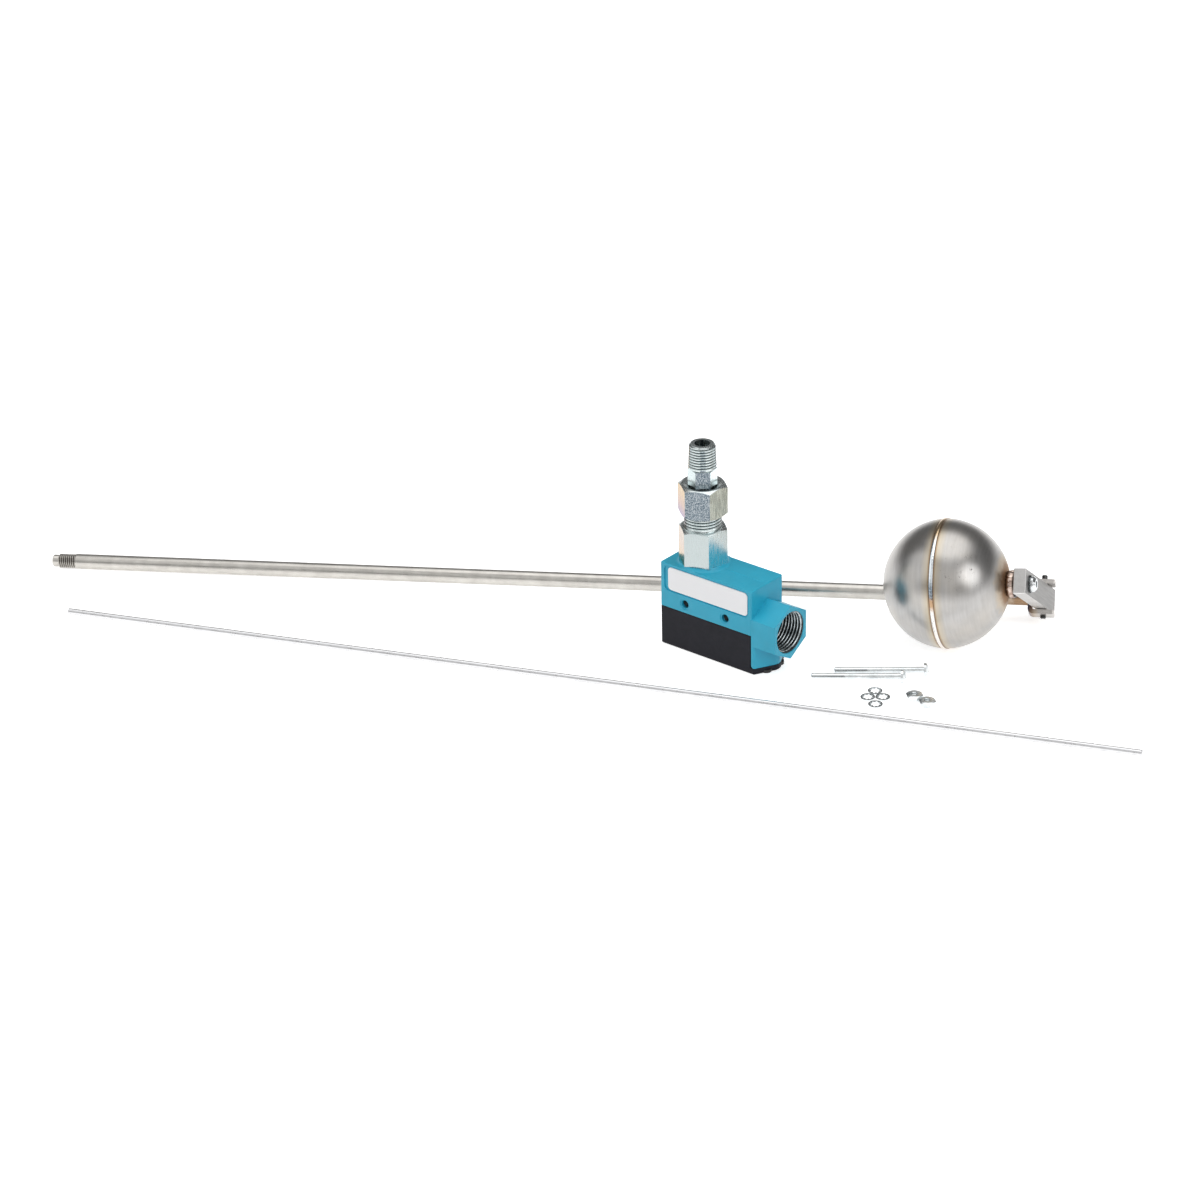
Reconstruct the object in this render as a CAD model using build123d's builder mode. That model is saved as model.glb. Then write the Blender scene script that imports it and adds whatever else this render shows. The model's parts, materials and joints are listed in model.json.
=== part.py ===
from build123d import *
import os
from math import asin, cos, degrees, radians, sin, sqrt, tan

# Float level switch laid out with its guide tube, push rod and mounting hardware.
# Millimetres, +Z up. The origin lies on the base face, below the axis of the union fitting.
# +X runs out of the conduit entry, and -Y is the side with the nameplate.

# Enclosure
body_length = 57.5
body_depth = 25.4
body_height = 45.9
fitting_axis_inset = 17.4
body_corner_radius = 0.8
body_edge_radius = 0.6
wall = 3.0
side_wall = 1.9
top_wall = 3.0
housing_height = 24.3
cover_floor = 3.0
cover_chamfer = 0.7
cover_gap = 0.3
cavity_corner_radius = 0.4
gasket_thickness = 0.4
gasket_inset = 0.35

# Conduit hub and the leg below it
hub_length = 14.7
hub_lift = 0.19
conduit_radius = 10.65
conduit_chamfer = 0.6
leg_bottom = 3.65
leg_gap = 0.2
leg_corner_radius = 1.6
prow_start = 1.4
prow_length = 8.2
prow_radius = 5.0
prow_shoulder_radius = 1.2

# Boss below the fitting
boss_rise = 1.5
boss_radius = 12.2
boss_flare = 2.4

# Nameplate
plate_left = 4.8
plate_right = 2.8
plate_drop = 1.8
plate_height = 12.5
plate_thickness = 0.45
plate_corner_radius = 2.0
recess_margin = 0.8
recess_left_margin = 2.4
recess_depth = 0.6

# Mounting holes through the enclosure
hole_inset = 15.4
hole_pitch = 25.4
hole_drop = 19.7
hole_radius = 2.2
spotface_radius = 3.0
spotface_depth = 0.25
sleeve_radius = 2.8
sleeve_clearance = 0.05

# Cover screws and the tongue at the other end
cover_screw_radius = 1.45
cover_screw_tip_gap = 1.0
cover_screw_end_gap = 1.69
cover_screw_head_radius = 2.9
cover_screw_head_height = 1.6
cover_screw_recess = 1.8
cover_screw_spread = 5.0
cover_screw_offset = 3.2
tongue_width = 8.0
tongue_thickness = 1.2
tongue_height = 1.4
tongue_clearance = 0.15

# Basic switch inside
basic_left_gap = 0.5
basic_right_gap = 1.8
basic_side_gap = 2.1
basic_height = 24.2
basic_top_gap = 1.2
basic_corner_radius = 1.0
button_radius = 2.0
button_clearance = 0.05
button_length = 7.4
button_rise = 2.6
button_bore_depth = 7.4
terminal_length = 8.0
terminal_width = 7.0
terminal_thickness = 1.0
terminal_inset = 3.6
terminal_screw_radius = 1.5
terminal_screw_length = 5.0
terminal_head_radius = 3.0
terminal_head_height = 1.8

# Union fitting
fitting_across_flats = 22.2
fitting_hex_height = 18.9
fitting_hex_turn = 21.0
hex_chamfer_angle = 30.0
hex_corner_margin = 0.1
hex_flat_margin = 0.4
spigot_radius = 7.95
thread_radius = 9.53
thread_rise = 13.7
union_nut_gap = 6.9
union_nut_height = 16.3
union_nut_turn = 24.3
union_nut_lip = 4.9
union_nut_dish = 1.0
thread_clearance = 0.06
union_gasket_thickness = 1.0
adapter_flange_height = 3.5
adapter_across_flats = 12.7
adapter_hex_turn = 40.0
adapter_clearance = 0.17
adapter_hex_rise = 8.25
pipe_thread_length = 13.35
pipe_thread_radius = 7.1
pipe_taper = 1 / 16
pipe_rim_chamfer = 0.8
rod_bore_radius = 2.4

# Plunger in the fitting
plunger_radius = 3.0
plunger_clearance = 0.05
plunger_gap = 0.1
plunger_length = 35.0
collar_radius = 4.7
collar_height = 2.0
collar_drop = 2.4
cup_depth = 1.2
bushing_radius = 5.5
bushing_length = 25.0
seat_height = 2.0
seat_radius = 4.0
spigot_length = 4.2

# Guide tube
tube_radius = 3.97
tube_bore_radius = 2.4
tube_thread_length = 8.9
tube_thread_radius = 3.85
tube_nose_length = 3.4
tube_nose_radius = 3.1
tube_chamfer = 0.6
tube_to_pin = 519.87
tube_tip_x = -326.0
tube_tip_y = -139.65
tube_yaw = 30.587
tube_tilt = 0.912
socket_clearance = 0.1

# Fork at the end of the tube, and its pin
fork_width = 12.7
strap_thickness = 2.3
fork_side_gap = 0.3
fork_web_gap = 5.4
fork_ear_reach = 5.6
fork_bend_radius = 2.6
fork_ear_radius = 0.8
pin_radius = 1.475
pin_clearance = 0.05
pin_above = 11.78
pin_below = 10.57
pin_chamfer = 0.35
pin_offset = 0.46
pin_roll = 35.63

# Lever block and float
block_thickness = 6.35
block_height = 12.7
block_reach = 44.44
block_near_end = 10.04
block_far_end = 11.56
block_edge = 0.3
block_turn = 10.48
ball_radius = 32.7
ball_polar_radius = 31.8
ball_wall = 0.8
ball_offset = 39.46
seam_width = 2.2
seam_rise = 0.4
spud_radius = 6.1
spud_depth = 1.6
spud_weld_width = 1.6
float_screw_radius = 2.4
float_screw_clearance = 0.1
float_screw_reach = 3.4
float_head_radius = 3.95
float_head_height = 2.3
float_socket_across_flats = 3.2
float_socket_depth = 1.3
float_washer_radius = 4.45
float_washer_thickness = 0.9

# Push rod lying in front
rod_radius = 1.5875
rod_length = 559.3
rod_left_x = -280.24
rod_left_y = -173.21
rod_yaw = 21.87
rod_chamfer = 0.3

# Mounting hardware lying in front: tip of each screw and its direction, nuts and washers
screw_length = 44.45
screw_thread_length = 17.0
screw_thread_radius = 1.75
screw_shank_radius = 1.55
screw_head_radius = 3.43
screw_head_height = 2.46
screw_slot_width = 0.9
screw_slot_length = 3.6
screw_slot_depth = 1.5
screw_places = [(66.74, 1.23), (72.12, 13.18)]
screw_headings = [33.49, 34.44]
nut_across_flats = 7.94
nut_thickness = 2.8
nut_bore_radius = 1.6
nut_turn = 20.6
nut_places = [(118.76, 16.14), (127.55, 14.68)]
washer_radius = 3.62
washer_ring_width = 0.85
washer_thickness = 0.6
washer_tooth_tip_radius = 2.0
washer_tooth_width = 0.95
washer_teeth = 8
washer_places = [(99.13, 10.42), (100.03, 3.01), (105.92, 7.51), (107.41, -0.71)]

# Places worked out from the sizes above
body_left = -fitting_axis_inset
body_right = body_left + body_length
body_middle = (body_left + body_right) / 2
body_front = -body_depth / 2
body_back = body_depth / 2
parting = body_height - housing_height
cover_height = parting - gasket_thickness
cavity_left = body_left + wall
cavity_right = body_right - wall
cavity_middle = (cavity_left + cavity_right) / 2
cavity_length = cavity_right - cavity_left
cavity_depth = body_depth - 2 * side_wall
cavity_top = body_height - top_wall
cover_right = body_right - 2 * cover_gap
leg_left = cover_right + cover_gap
hub_across_flats = body_depth
hub_height = body_height / 2 + hub_lift
hub_face = body_right + hub_length
foot_top = leg_bottom - leg_gap
boss_top = body_height + boss_rise
hole_height = body_height - hole_drop
hole_places = [(body_left + hole_inset, hole_height), (body_left + hole_inset + hole_pitch, hole_height)]
basic_left = cavity_left + basic_left_gap
basic_right = cavity_right - basic_right_gap
basic_length = basic_right - basic_left
basic_width = cavity_depth - 2 * basic_side_gap
basic_middle = (basic_left + basic_right) / 2
basic_top = cavity_top - basic_top_gap
basic_bottom = basic_top - basic_height
button_top = basic_top + button_rise
terminal_pitch = (basic_length - terminal_length) / 2 - terminal_inset
terminal_places = [(basic_middle - terminal_pitch, 0), (basic_middle, 0), (basic_middle + terminal_pitch, 0)]
plate_length = body_length - plate_left - plate_right
plate_middle = (body_left + plate_left + plate_length / 2, body_height - plate_drop - plate_height / 2)
recess_length = plate_length + recess_left_margin + recess_margin
recess_middle = (plate_middle[0] - (recess_left_margin - recess_margin) / 2, plate_middle[1])
cover_screw_x = body_right + cover_screw_offset
cover_screw_length = hub_height - conduit_radius - cover_screw_end_gap - cover_screw_recess
cover_screw_bore = cover_screw_recess + cover_screw_length + cover_screw_tip_gap - leg_bottom
tongue_middle = body_left + wall / 2

spigot_bottom = boss_top - spigot_length
seat_top = spigot_bottom + seat_height
bushing_top = seat_top + bushing_length
seal_section = (bushing_radius - plunger_radius - plunger_clearance) / 2
seal_top = bushing_top + 2 * seal_section
hex_top = boss_top + fitting_hex_height
thread_top = hex_top + thread_rise
union_nut_bottom = hex_top + union_nut_gap
nut_top = union_nut_bottom + union_nut_height
nut_lip_bottom = nut_top - union_nut_lip
adapter_bottom = thread_top + union_gasket_thickness
flange_top = adapter_bottom + adapter_flange_height
flange_radius = thread_radius - 2 * thread_clearance
adapter_corner_radius = adapter_across_flats / sqrt(3)
adapter_hex_top = nut_top + adapter_hex_rise
pipe_top = adapter_hex_top + pipe_thread_length
pipe_top_radius = pipe_thread_radius - pipe_taper * pipe_thread_length / 2
plunger_bottom = button_top + plunger_gap
plunger_top = plunger_bottom + plunger_length
collar_bottom = seal_top + collar_drop

# Directions of the guide tube and the float, from the angles above
yaw = radians(tube_yaw)
tilt = radians(tube_tilt)
roll = radians(pin_roll)
turn = radians(block_turn)
tube_shoulder = tube_nose_length + tube_thread_length + tube_chamfer
tube_tip_z = tube_radius - tube_shoulder * tan(tilt)
tube_tip = Vector(tube_tip_x, tube_tip_y, tube_tip_z)
along_tube = Vector(cos(tilt) * cos(yaw), cos(tilt) * sin(yaw), sin(tilt))
side_of_tube = Vector(sin(yaw), -cos(yaw), 0)
above_tube = side_of_tube.cross(along_tube)
across_fork = side_of_tube * cos(roll) + above_tube * sin(roll)
along_pin = across_fork.cross(along_tube)
off_block = along_tube * cos(turn) + across_fork * sin(turn)
along_block = across_fork * cos(turn) - along_tube * sin(turn)
pin_centre = tube_tip + along_tube * tube_to_pin + across_fork * pin_offset

# Working planes: tube axis along local X, fork profile, lever with local Z along the pin
tube_plane = Plane(origin=tube_tip, x_dir=along_tube, z_dir=side_of_tube)
fork_plane = Plane(origin=pin_centre, x_dir=along_tube, z_dir=across_fork)
pin_plane = Plane(origin=pin_centre, x_dir=along_tube, z_dir=along_pin)
lever_plane = Plane(origin=pin_centre, x_dir=along_block, z_dir=along_pin)
tube_end = tube_to_pin - fork_web_gap - strap_thickness
web_plane = Plane(origin=tube_tip + along_tube * tube_end, x_dir=across_fork, z_dir=along_tube)
float_axis_origin = pin_centre + along_block * block_reach
float_centre = float_axis_origin - off_block * ball_offset
float_plane = Plane(origin=float_axis_origin, x_dir=off_block, z_dir=along_pin)
float_axis = Axis(float_axis_origin, off_block)
tube_axis = Axis(tube_tip, along_tube)

# Places on the float's axis, measured from the middle of the lever block
block_inner = -block_thickness / 2
block_outer = block_thickness / 2
screw_seat = block_outer + float_washer_thickness
screw_head_top = screw_seat + float_head_height
screw_head_plane = Plane(origin=float_axis_origin + off_block * screw_head_top, z_dir=off_block)
fork_inner = block_height / 2 + fork_side_gap
fork_outer = fork_inner + strap_thickness

# Each half of the float is a spherical cap, a little less than a full half sphere
cap_radius = (ball_polar_radius**2 + ball_radius**2) / (2 * ball_polar_radius)
cap_inner_radius = cap_radius - ball_wall
cap_shift = cap_radius - ball_polar_radius
ball_at_spud = sqrt(cap_radius**2 - spud_radius**2) - cap_shift - ball_offset
seam_root = sqrt(cap_inner_radius**2 - cap_shift**2)
seam_edge = sqrt(cap_radius**2 - (cap_shift + seam_width / 2) ** 2)


def prow_outline(start_x):
    """Plan outline of the leg: straight sides from start_x that meet in a rounded prow."""
    with BuildSketch() as outline:
        with BuildLine():
            Polyline(
                (start_x, body_front),
                (body_right + prow_start, body_front),
                (body_right + prow_length, 0),
                (body_right + prow_start, body_back),
                (start_x, body_back),
                close=True,
            )
        make_face()
        fillet(vertices().group_by(Axis.X)[1], prow_shoulder_radius)
        fillet(vertices().sort_by(Axis.X)[-1], prow_radius)
    return outline.sketch


def hex_corner_profile(across_flats, bottom, top, chamfer_bottom, chamfer_top):
    """Half profile that bevels a hexagon's corners at the ends where a chamfer is asked for."""
    corner = across_flats / sqrt(3) + hex_corner_margin
    flat = across_flats / 2 - hex_flat_margin
    drop = (corner - flat) * tan(radians(hex_chamfer_angle))
    points = [(0, bottom), (flat, bottom), (corner, bottom + drop)]
    if not chamfer_bottom:
        points = [(0, bottom), (corner, bottom)]
    if chamfer_top:
        points += [(corner, top - drop), (flat, top), (0, top)]
    else:
        points += [(corner, top), (0, top)]
    with BuildSketch() as profile:
        with BuildLine():
            Polyline(*points, close=True)
        make_face()
    return profile.sketch


def half_shell_profile(outer_half, hole_radius):
    """Shell section of one half of the float, from its hole at the pole to the seam's groove."""
    middle = (-ball_offset - cap_shift, 0) if outer_half else (-ball_offset + cap_shift, 0)
    outer_start = degrees(asin(hole_radius / cap_radius))
    outer_size = degrees(asin(seam_edge / cap_radius)) - outer_start
    inner_start = degrees(asin(hole_radius / cap_inner_radius))
    inner_size = degrees(asin(seam_root / cap_inner_radius)) - inner_start
    if not outer_half:
        outer_start = 180 - outer_start
        inner_start = 180 - inner_start
        outer_size = -outer_size
        inner_size = -inner_size
    with BuildSketch() as section:
        with BuildLine():
            outer = CenterArc(middle, cap_radius, outer_start, outer_size)
            inner = CenterArc(middle, cap_inner_radius, inner_start, inner_size)
            Line(outer @ 0, inner @ 0)
            Line(outer @ 1, inner @ 1)
        make_face()
    return section.sketch


os.makedirs("parts", exist_ok=True)

# Flared boss that carries the fitting, cut back to the outline of the body
with BuildPart() as boss:
    with BuildSketch(Plane.XZ):
        with BuildLine():
            Polyline(
                (boss_radius, boss_top),
                (0, boss_top),
                (0, cavity_top),
                (boss_radius + boss_flare, cavity_top),
                (boss_radius + boss_flare, body_height),
            )
            RadiusArc((boss_radius + boss_flare, body_height), (boss_radius, boss_top), boss_flare)
        make_face()
    revolve(axis=Axis.Z)
    with BuildSketch(Plane.XY.offset(cavity_top)):
        with Locations((body_middle, 0)):
            RectangleRounded(body_length, body_depth, body_corner_radius)
    extrude(amount=boss_top - cavity_top, mode=Mode.INTERSECT)

# Housing: body open below, boss, conduit hub and the leg with its prow
with BuildPart() as switch_housing:
    with BuildSketch(Plane.XY.offset(parting)):
        with Locations((body_middle, 0)):
            RectangleRounded(body_length, body_depth, body_corner_radius)
    extrude(amount=body_height - parting)
    fillet(faces().sort_by(Axis.Z)[-1].edges(), body_edge_radius)
    add(boss.part)
    with BuildSketch(Plane.XY.offset(leg_bottom)):
        add(prow_outline(leg_left))
    extrude(amount=hub_height - leg_bottom)
    fillet(faces().sort_by(Axis.Z)[0].edges().sort_by(Axis.X)[0], leg_corner_radius)
    with BuildSketch(Plane.YZ.offset(leg_left)):
        with Locations((0, hub_height)):
            RegularPolygon(hub_across_flats / 2, 6, major_radius=False, rotation=30)
    extrude(amount=hub_face - leg_left)
    with BuildSketch(Plane.XY.offset(parting)):
        with Locations((cavity_middle, 0)):
            RectangleRounded(cavity_length, cavity_depth, cavity_corner_radius)
    extrude(amount=cavity_top - parting, mode=Mode.SUBTRACT)
    with BuildSketch(Plane.YZ.offset(cavity_right)):
        with Locations((0, hub_height)):
            Circle(conduit_radius)
    extrude(amount=hub_face - cavity_right, mode=Mode.SUBTRACT)
    chamfer(edges().filter_by(GeomType.CIRCLE).sort_by(Axis.X)[-1], conduit_chamfer)
    with Locations((0, 0, boss_top)):
        Hole(spigot_radius, boss_top - cavity_top)
    with BuildSketch(Plane.XZ):
        with Locations(*hole_places):
            Circle(hole_radius)
    extrude(amount=body_depth / 2, both=True, mode=Mode.SUBTRACT)
    for side in (-1, 1):
        with BuildSketch(Plane.XZ.offset(side * body_depth / 2)):
            with Locations(*hole_places):
                Circle(spotface_radius)
        extrude(amount=-side * spotface_depth, mode=Mode.SUBTRACT)
    with BuildSketch(Plane.XZ.offset(body_depth / 2)):
        with Locations(recess_middle):
            RectangleRounded(
                recess_length,
                plate_height + 2 * recess_margin,
                plate_corner_radius + recess_margin,
            )
    extrude(amount=-recess_depth, mode=Mode.SUBTRACT)
    with BuildSketch(Plane.XY.offset(parting)):
        with Locations((tongue_middle, 0)):
            Rectangle(tongue_thickness + 2 * tongue_clearance, tongue_width + 2 * tongue_clearance)
    extrude(amount=tongue_height + tongue_clearance, mode=Mode.SUBTRACT)
    with BuildSketch(Plane.XY.offset(leg_bottom)):
        with Locations((cover_screw_x, cover_screw_spread), (cover_screw_x, -cover_screw_spread)):
            Circle(cover_screw_radius)
    extrude(amount=cover_screw_bore, mode=Mode.SUBTRACT)

switch_housing.part.label = "switch_housing"
export_step(switch_housing.part, "parts/switch_housing.step")

# Cover: tub below the body with a foot that runs on under the leg
with BuildPart() as switch_cover:
    with BuildSketch():
        with Locations(((body_left + cover_right) / 2, 0)):
            RectangleRounded(cover_right - body_left, body_depth, body_corner_radius)
    extrude(amount=cover_height)
    with BuildSketch():
        add(prow_outline(cover_right - wall))
    extrude(amount=foot_top)
    chamfer(faces().sort_by(Axis.Z)[0].edges(), cover_chamfer)
    with BuildSketch(Plane.XY.offset(cover_floor)):
        with Locations(((cavity_left + cover_right - wall) / 2, 0)):
            RectangleRounded(cover_right - wall - cavity_left, cavity_depth, cavity_corner_radius)
    extrude(amount=cover_height - cover_floor, mode=Mode.SUBTRACT)
    with BuildSketch(Plane.YZ.offset(cover_right - wall)):
        with Locations((0, hub_height)):
            Circle(conduit_radius)
    extrude(amount=wall, mode=Mode.SUBTRACT)
    with BuildSketch(Plane.XY.offset(cover_height)):
        with Locations((tongue_middle, 0)):
            Rectangle(tongue_thickness, tongue_width)
    extrude(amount=gasket_thickness + tongue_height)
    with BuildSketch():
        with Locations((cover_screw_x, cover_screw_spread), (cover_screw_x, -cover_screw_spread)):
            Circle(cover_screw_head_radius + tongue_clearance)
    extrude(amount=cover_screw_recess, mode=Mode.SUBTRACT)
    with BuildSketch():
        with Locations((cover_screw_x, cover_screw_spread), (cover_screw_x, -cover_screw_spread)):
            Circle(cover_screw_radius + tongue_clearance)
    extrude(amount=foot_top, mode=Mode.SUBTRACT)

switch_cover.part.label = "switch_cover"
export_step(switch_cover.part, "parts/switch_cover.step")

# Gasket between the cover and the body
with BuildPart() as cover_gasket:
    with BuildSketch(Plane.XY.offset(cover_height)):
        with Locations(((body_left + cover_right) / 2, 0)):
            RectangleRounded(
                cover_right - body_left - 2 * gasket_inset,
                body_depth - 2 * gasket_inset,
                body_corner_radius - gasket_inset,
            )
        with Locations(((cavity_left + cover_right - wall) / 2, 0)):
            RectangleRounded(
                cover_right - wall - cavity_left, cavity_depth, cavity_corner_radius, mode=Mode.SUBTRACT
            )
        with Locations((tongue_middle, 0)):
            Rectangle(
                tongue_thickness + 2 * tongue_clearance,
                tongue_width + 2 * tongue_clearance,
                mode=Mode.SUBTRACT,
            )
    extrude(amount=gasket_thickness)
    with BuildSketch(Plane.YZ.offset(cover_right - wall)):
        with Locations((0, hub_height)):
            Circle(conduit_radius)
    extrude(amount=wall, mode=Mode.SUBTRACT)

cover_gasket.part.label = "cover_gasket"
export_step(cover_gasket.part, "parts/cover_gasket.step")

# Two screws that hold the foot of the cover to the leg
with BuildPart() as cover_screws:
    with BuildSketch(Plane.XY.offset(cover_screw_recess - cover_screw_head_height)):
        with Locations((cover_screw_x, cover_screw_spread), (cover_screw_x, -cover_screw_spread)):
            Circle(cover_screw_head_radius)
    extrude(amount=cover_screw_head_height)
    with BuildSketch(Plane.XY.offset(cover_screw_recess)):
        with Locations((cover_screw_x, cover_screw_spread), (cover_screw_x, -cover_screw_spread)):
            Circle(cover_screw_radius)
    extrude(amount=cover_screw_length)

cover_screws.part.label = "cover_screws"
export_step(cover_screws.part, "parts/cover_screws.step")

# Blank nameplate in its recess
with BuildPart() as nameplate:
    with BuildSketch(Plane.XZ.offset(body_depth / 2 - recess_depth)):
        with Locations(plate_middle):
            RectangleRounded(plate_length, plate_height, plate_corner_radius)
    extrude(amount=plate_thickness)

nameplate.part.label = "nameplate"
export_step(nameplate.part, "parts/nameplate.step")

# Distance sleeves that the mounting screws pass through
with BuildPart() as mounting_sleeves:
    with BuildSketch(Plane.XZ):
        with Locations(*hole_places):
            Circle(sleeve_radius)
            Circle(hole_radius, mode=Mode.SUBTRACT)
    extrude(amount=cavity_depth / 2, both=True)

mounting_sleeves.part.label = "mounting_sleeves"
export_step(mounting_sleeves.part, "parts/mounting_sleeves.step")

# Basic switch with the bore for its button
with BuildPart() as basic_switch:
    with BuildSketch(Plane.XY.offset(basic_bottom)):
        with Locations((basic_middle, 0)):
            RectangleRounded(basic_length, basic_width, basic_corner_radius)
    extrude(amount=basic_height)
    with BuildSketch(Plane.XZ):
        with Locations(*hole_places):
            Circle(sleeve_radius + sleeve_clearance)
    extrude(amount=basic_width / 2, both=True, mode=Mode.SUBTRACT)
    with Locations((0, 0, basic_top)):
        Hole(button_radius + button_clearance, button_bore_depth)
    with BuildSketch(Plane.XY.offset(basic_bottom)):
        with Locations(*terminal_places):
            Circle(terminal_screw_radius)
    extrude(amount=terminal_screw_length - terminal_thickness, mode=Mode.SUBTRACT)

basic_switch.part.label = "basic_switch"
export_step(basic_switch.part, "parts/basic_switch.step")

# Button of the basic switch, rounded on top
with BuildPart() as switch_button:
    with BuildSketch(Plane.XY.offset(button_top - button_length)):
        Circle(button_radius)
    extrude(amount=button_length)
    fillet(faces().sort_by(Axis.Z)[-1].edges(), button_radius / 2)

switch_button.part.label = "switch_button"
export_step(switch_button.part, "parts/switch_button.step")

# Contact plates on the underside of the basic switch
with BuildPart() as terminal_plates:
    with BuildSketch(Plane.XY.offset(basic_bottom - terminal_thickness)):
        with Locations(*terminal_places):
            Rectangle(terminal_length, terminal_width)
            Circle(terminal_screw_radius, mode=Mode.SUBTRACT)
    extrude(amount=terminal_thickness)

terminal_plates.part.label = "terminal_plates"
export_step(terminal_plates.part, "parts/terminal_plates.step")

# Wire screws of the contact plates
with BuildPart() as terminal_screws:
    with BuildSketch(Plane.XY.offset(basic_bottom - terminal_thickness)):
        with Locations(*terminal_places):
            Circle(terminal_screw_radius)
    extrude(amount=terminal_screw_length)
    with BuildSketch(Plane.XY.offset(basic_bottom - terminal_thickness - terminal_head_height)):
        with Locations(*terminal_places):
            Circle(terminal_head_radius)
    extrude(amount=terminal_head_height)

terminal_screws.part.label = "terminal_screws"
export_step(terminal_screws.part, "parts/terminal_screws.step")

# Lower half of the union: spigot in the boss, hexagon and male thread
with BuildPart() as fitting_body:
    with BuildSketch(Plane.XY.offset(boss_top)):
        RegularPolygon(fitting_across_flats / 2, 6, major_radius=False, rotation=fitting_hex_turn)
    extrude(amount=fitting_hex_height)
    with BuildSketch(Plane.XZ):
        add(hex_corner_profile(fitting_across_flats, boss_top, hex_top, False, True))
    revolve(axis=Axis.Z, mode=Mode.INTERSECT)
    with BuildSketch(Plane.XY.offset(spigot_bottom)):
        Circle(spigot_radius)
    extrude(amount=spigot_length)
    with BuildSketch(Plane.XY.offset(hex_top)):
        Circle(thread_radius)
    extrude(amount=thread_top - hex_top)
    with BuildSketch(Plane.XY.offset(spigot_bottom)):
        Circle(seat_radius)
    extrude(amount=thread_top - spigot_bottom, mode=Mode.SUBTRACT)
    with BuildSketch(Plane.XY.offset(seat_top)):
        Circle(bushing_radius)
    extrude(amount=thread_top - seat_top, mode=Mode.SUBTRACT)

fitting_body.part.label = "fitting_body"
export_step(fitting_body.part, "parts/fitting_body.step")

# Union nut: threaded over the fitting, with a lip that holds the adapter's flange
with BuildPart() as union_nut:
    with BuildSketch(Plane.XY.offset(union_nut_bottom)):
        RegularPolygon(fitting_across_flats / 2, 6, major_radius=False, rotation=union_nut_turn)
    extrude(amount=union_nut_height)
    with BuildSketch(Plane.XZ):
        add(hex_corner_profile(fitting_across_flats, union_nut_bottom, nut_top, True, True))
    revolve(axis=Axis.Z, mode=Mode.INTERSECT)
    with BuildSketch(Plane.XZ):
        with BuildLine():
            Polyline(
                (0, union_nut_bottom),
                (thread_radius + thread_clearance, union_nut_bottom),
                (thread_radius + thread_clearance, nut_lip_bottom),
                (adapter_corner_radius + adapter_clearance, nut_lip_bottom),
                (adapter_corner_radius + adapter_clearance, nut_top - union_nut_dish),
                (adapter_corner_radius + adapter_clearance + 2 * union_nut_dish, nut_top),
                (0, nut_top),
                close=True,
            )
        make_face()
    revolve(axis=Axis.Z, mode=Mode.SUBTRACT)

union_nut.part.label = "union_nut"
export_step(union_nut.part, "parts/union_nut.step")

# Flat gasket between the two halves of the union
with BuildPart() as union_gasket:
    with BuildSketch(Plane.XY.offset(thread_top)):
        Circle(flange_radius)
        Circle(bushing_radius, mode=Mode.SUBTRACT)
    extrude(amount=union_gasket_thickness)

union_gasket.part.label = "union_gasket"
export_step(union_gasket.part, "parts/union_gasket.step")

# Upper half of the union: flange, hexagon and tapered pipe thread with the socket for the tube
with BuildPart() as tube_adapter:
    with BuildSketch(Plane.XY.offset(flange_top)):
        RegularPolygon(adapter_across_flats / 2, 6, major_radius=False, rotation=adapter_hex_turn)
    extrude(amount=adapter_hex_top - flange_top)
    with BuildSketch(Plane.XY.offset(adapter_bottom)):
        Circle(flange_radius)
    extrude(amount=flange_top - adapter_bottom)
    with BuildSketch(Plane.XZ):
        with BuildLine():
            Polyline(
                (0, adapter_hex_top),
                (pipe_thread_radius - pipe_rim_chamfer, adapter_hex_top),
                (pipe_thread_radius, adapter_hex_top + pipe_rim_chamfer),
                (pipe_top_radius, pipe_top - pipe_rim_chamfer),
                (pipe_top_radius - pipe_rim_chamfer, pipe_top),
                (0, pipe_top),
                close=True,
            )
        make_face()
    revolve(axis=Axis.Z)
    with BuildSketch(Plane.XZ):
        with BuildLine():
            Polyline(
                (0, adapter_bottom),
                (rod_bore_radius, adapter_bottom),
                (rod_bore_radius, pipe_top - tube_shoulder - socket_clearance),
                (tube_nose_radius + socket_clearance, pipe_top - tube_shoulder - socket_clearance),
                (tube_nose_radius + socket_clearance, pipe_top - tube_thread_length),
                (tube_thread_radius + socket_clearance, pipe_top - tube_thread_length),
                (tube_thread_radius + socket_clearance, pipe_top),
                (0, pipe_top),
                close=True,
            )
        make_face()
    revolve(axis=Axis.Z, mode=Mode.SUBTRACT)

tube_adapter.part.label = "tube_adapter"
export_step(tube_adapter.part, "parts/tube_adapter.step")

# Bushing that guides the plunger
with BuildPart() as plunger_bushing:
    with BuildSketch(Plane.XY.offset(seat_top)):
        Circle(bushing_radius)
        Circle(plunger_radius + plunger_clearance, mode=Mode.SUBTRACT)
    extrude(amount=bushing_length)

plunger_bushing.part.label = "plunger_bushing"
export_step(plunger_bushing.part, "parts/plunger_bushing.step")

# Ring seal on top of the bushing
with BuildPart() as plunger_seal:
    with BuildSketch(Plane.XZ):
        with Locations((bushing_radius - seal_section, bushing_top + seal_section)):
            Circle(seal_section)
    revolve(axis=Axis.Z)

plunger_seal.part.label = "plunger_seal"
export_step(plunger_seal.part, "parts/plunger_seal.step")

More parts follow.
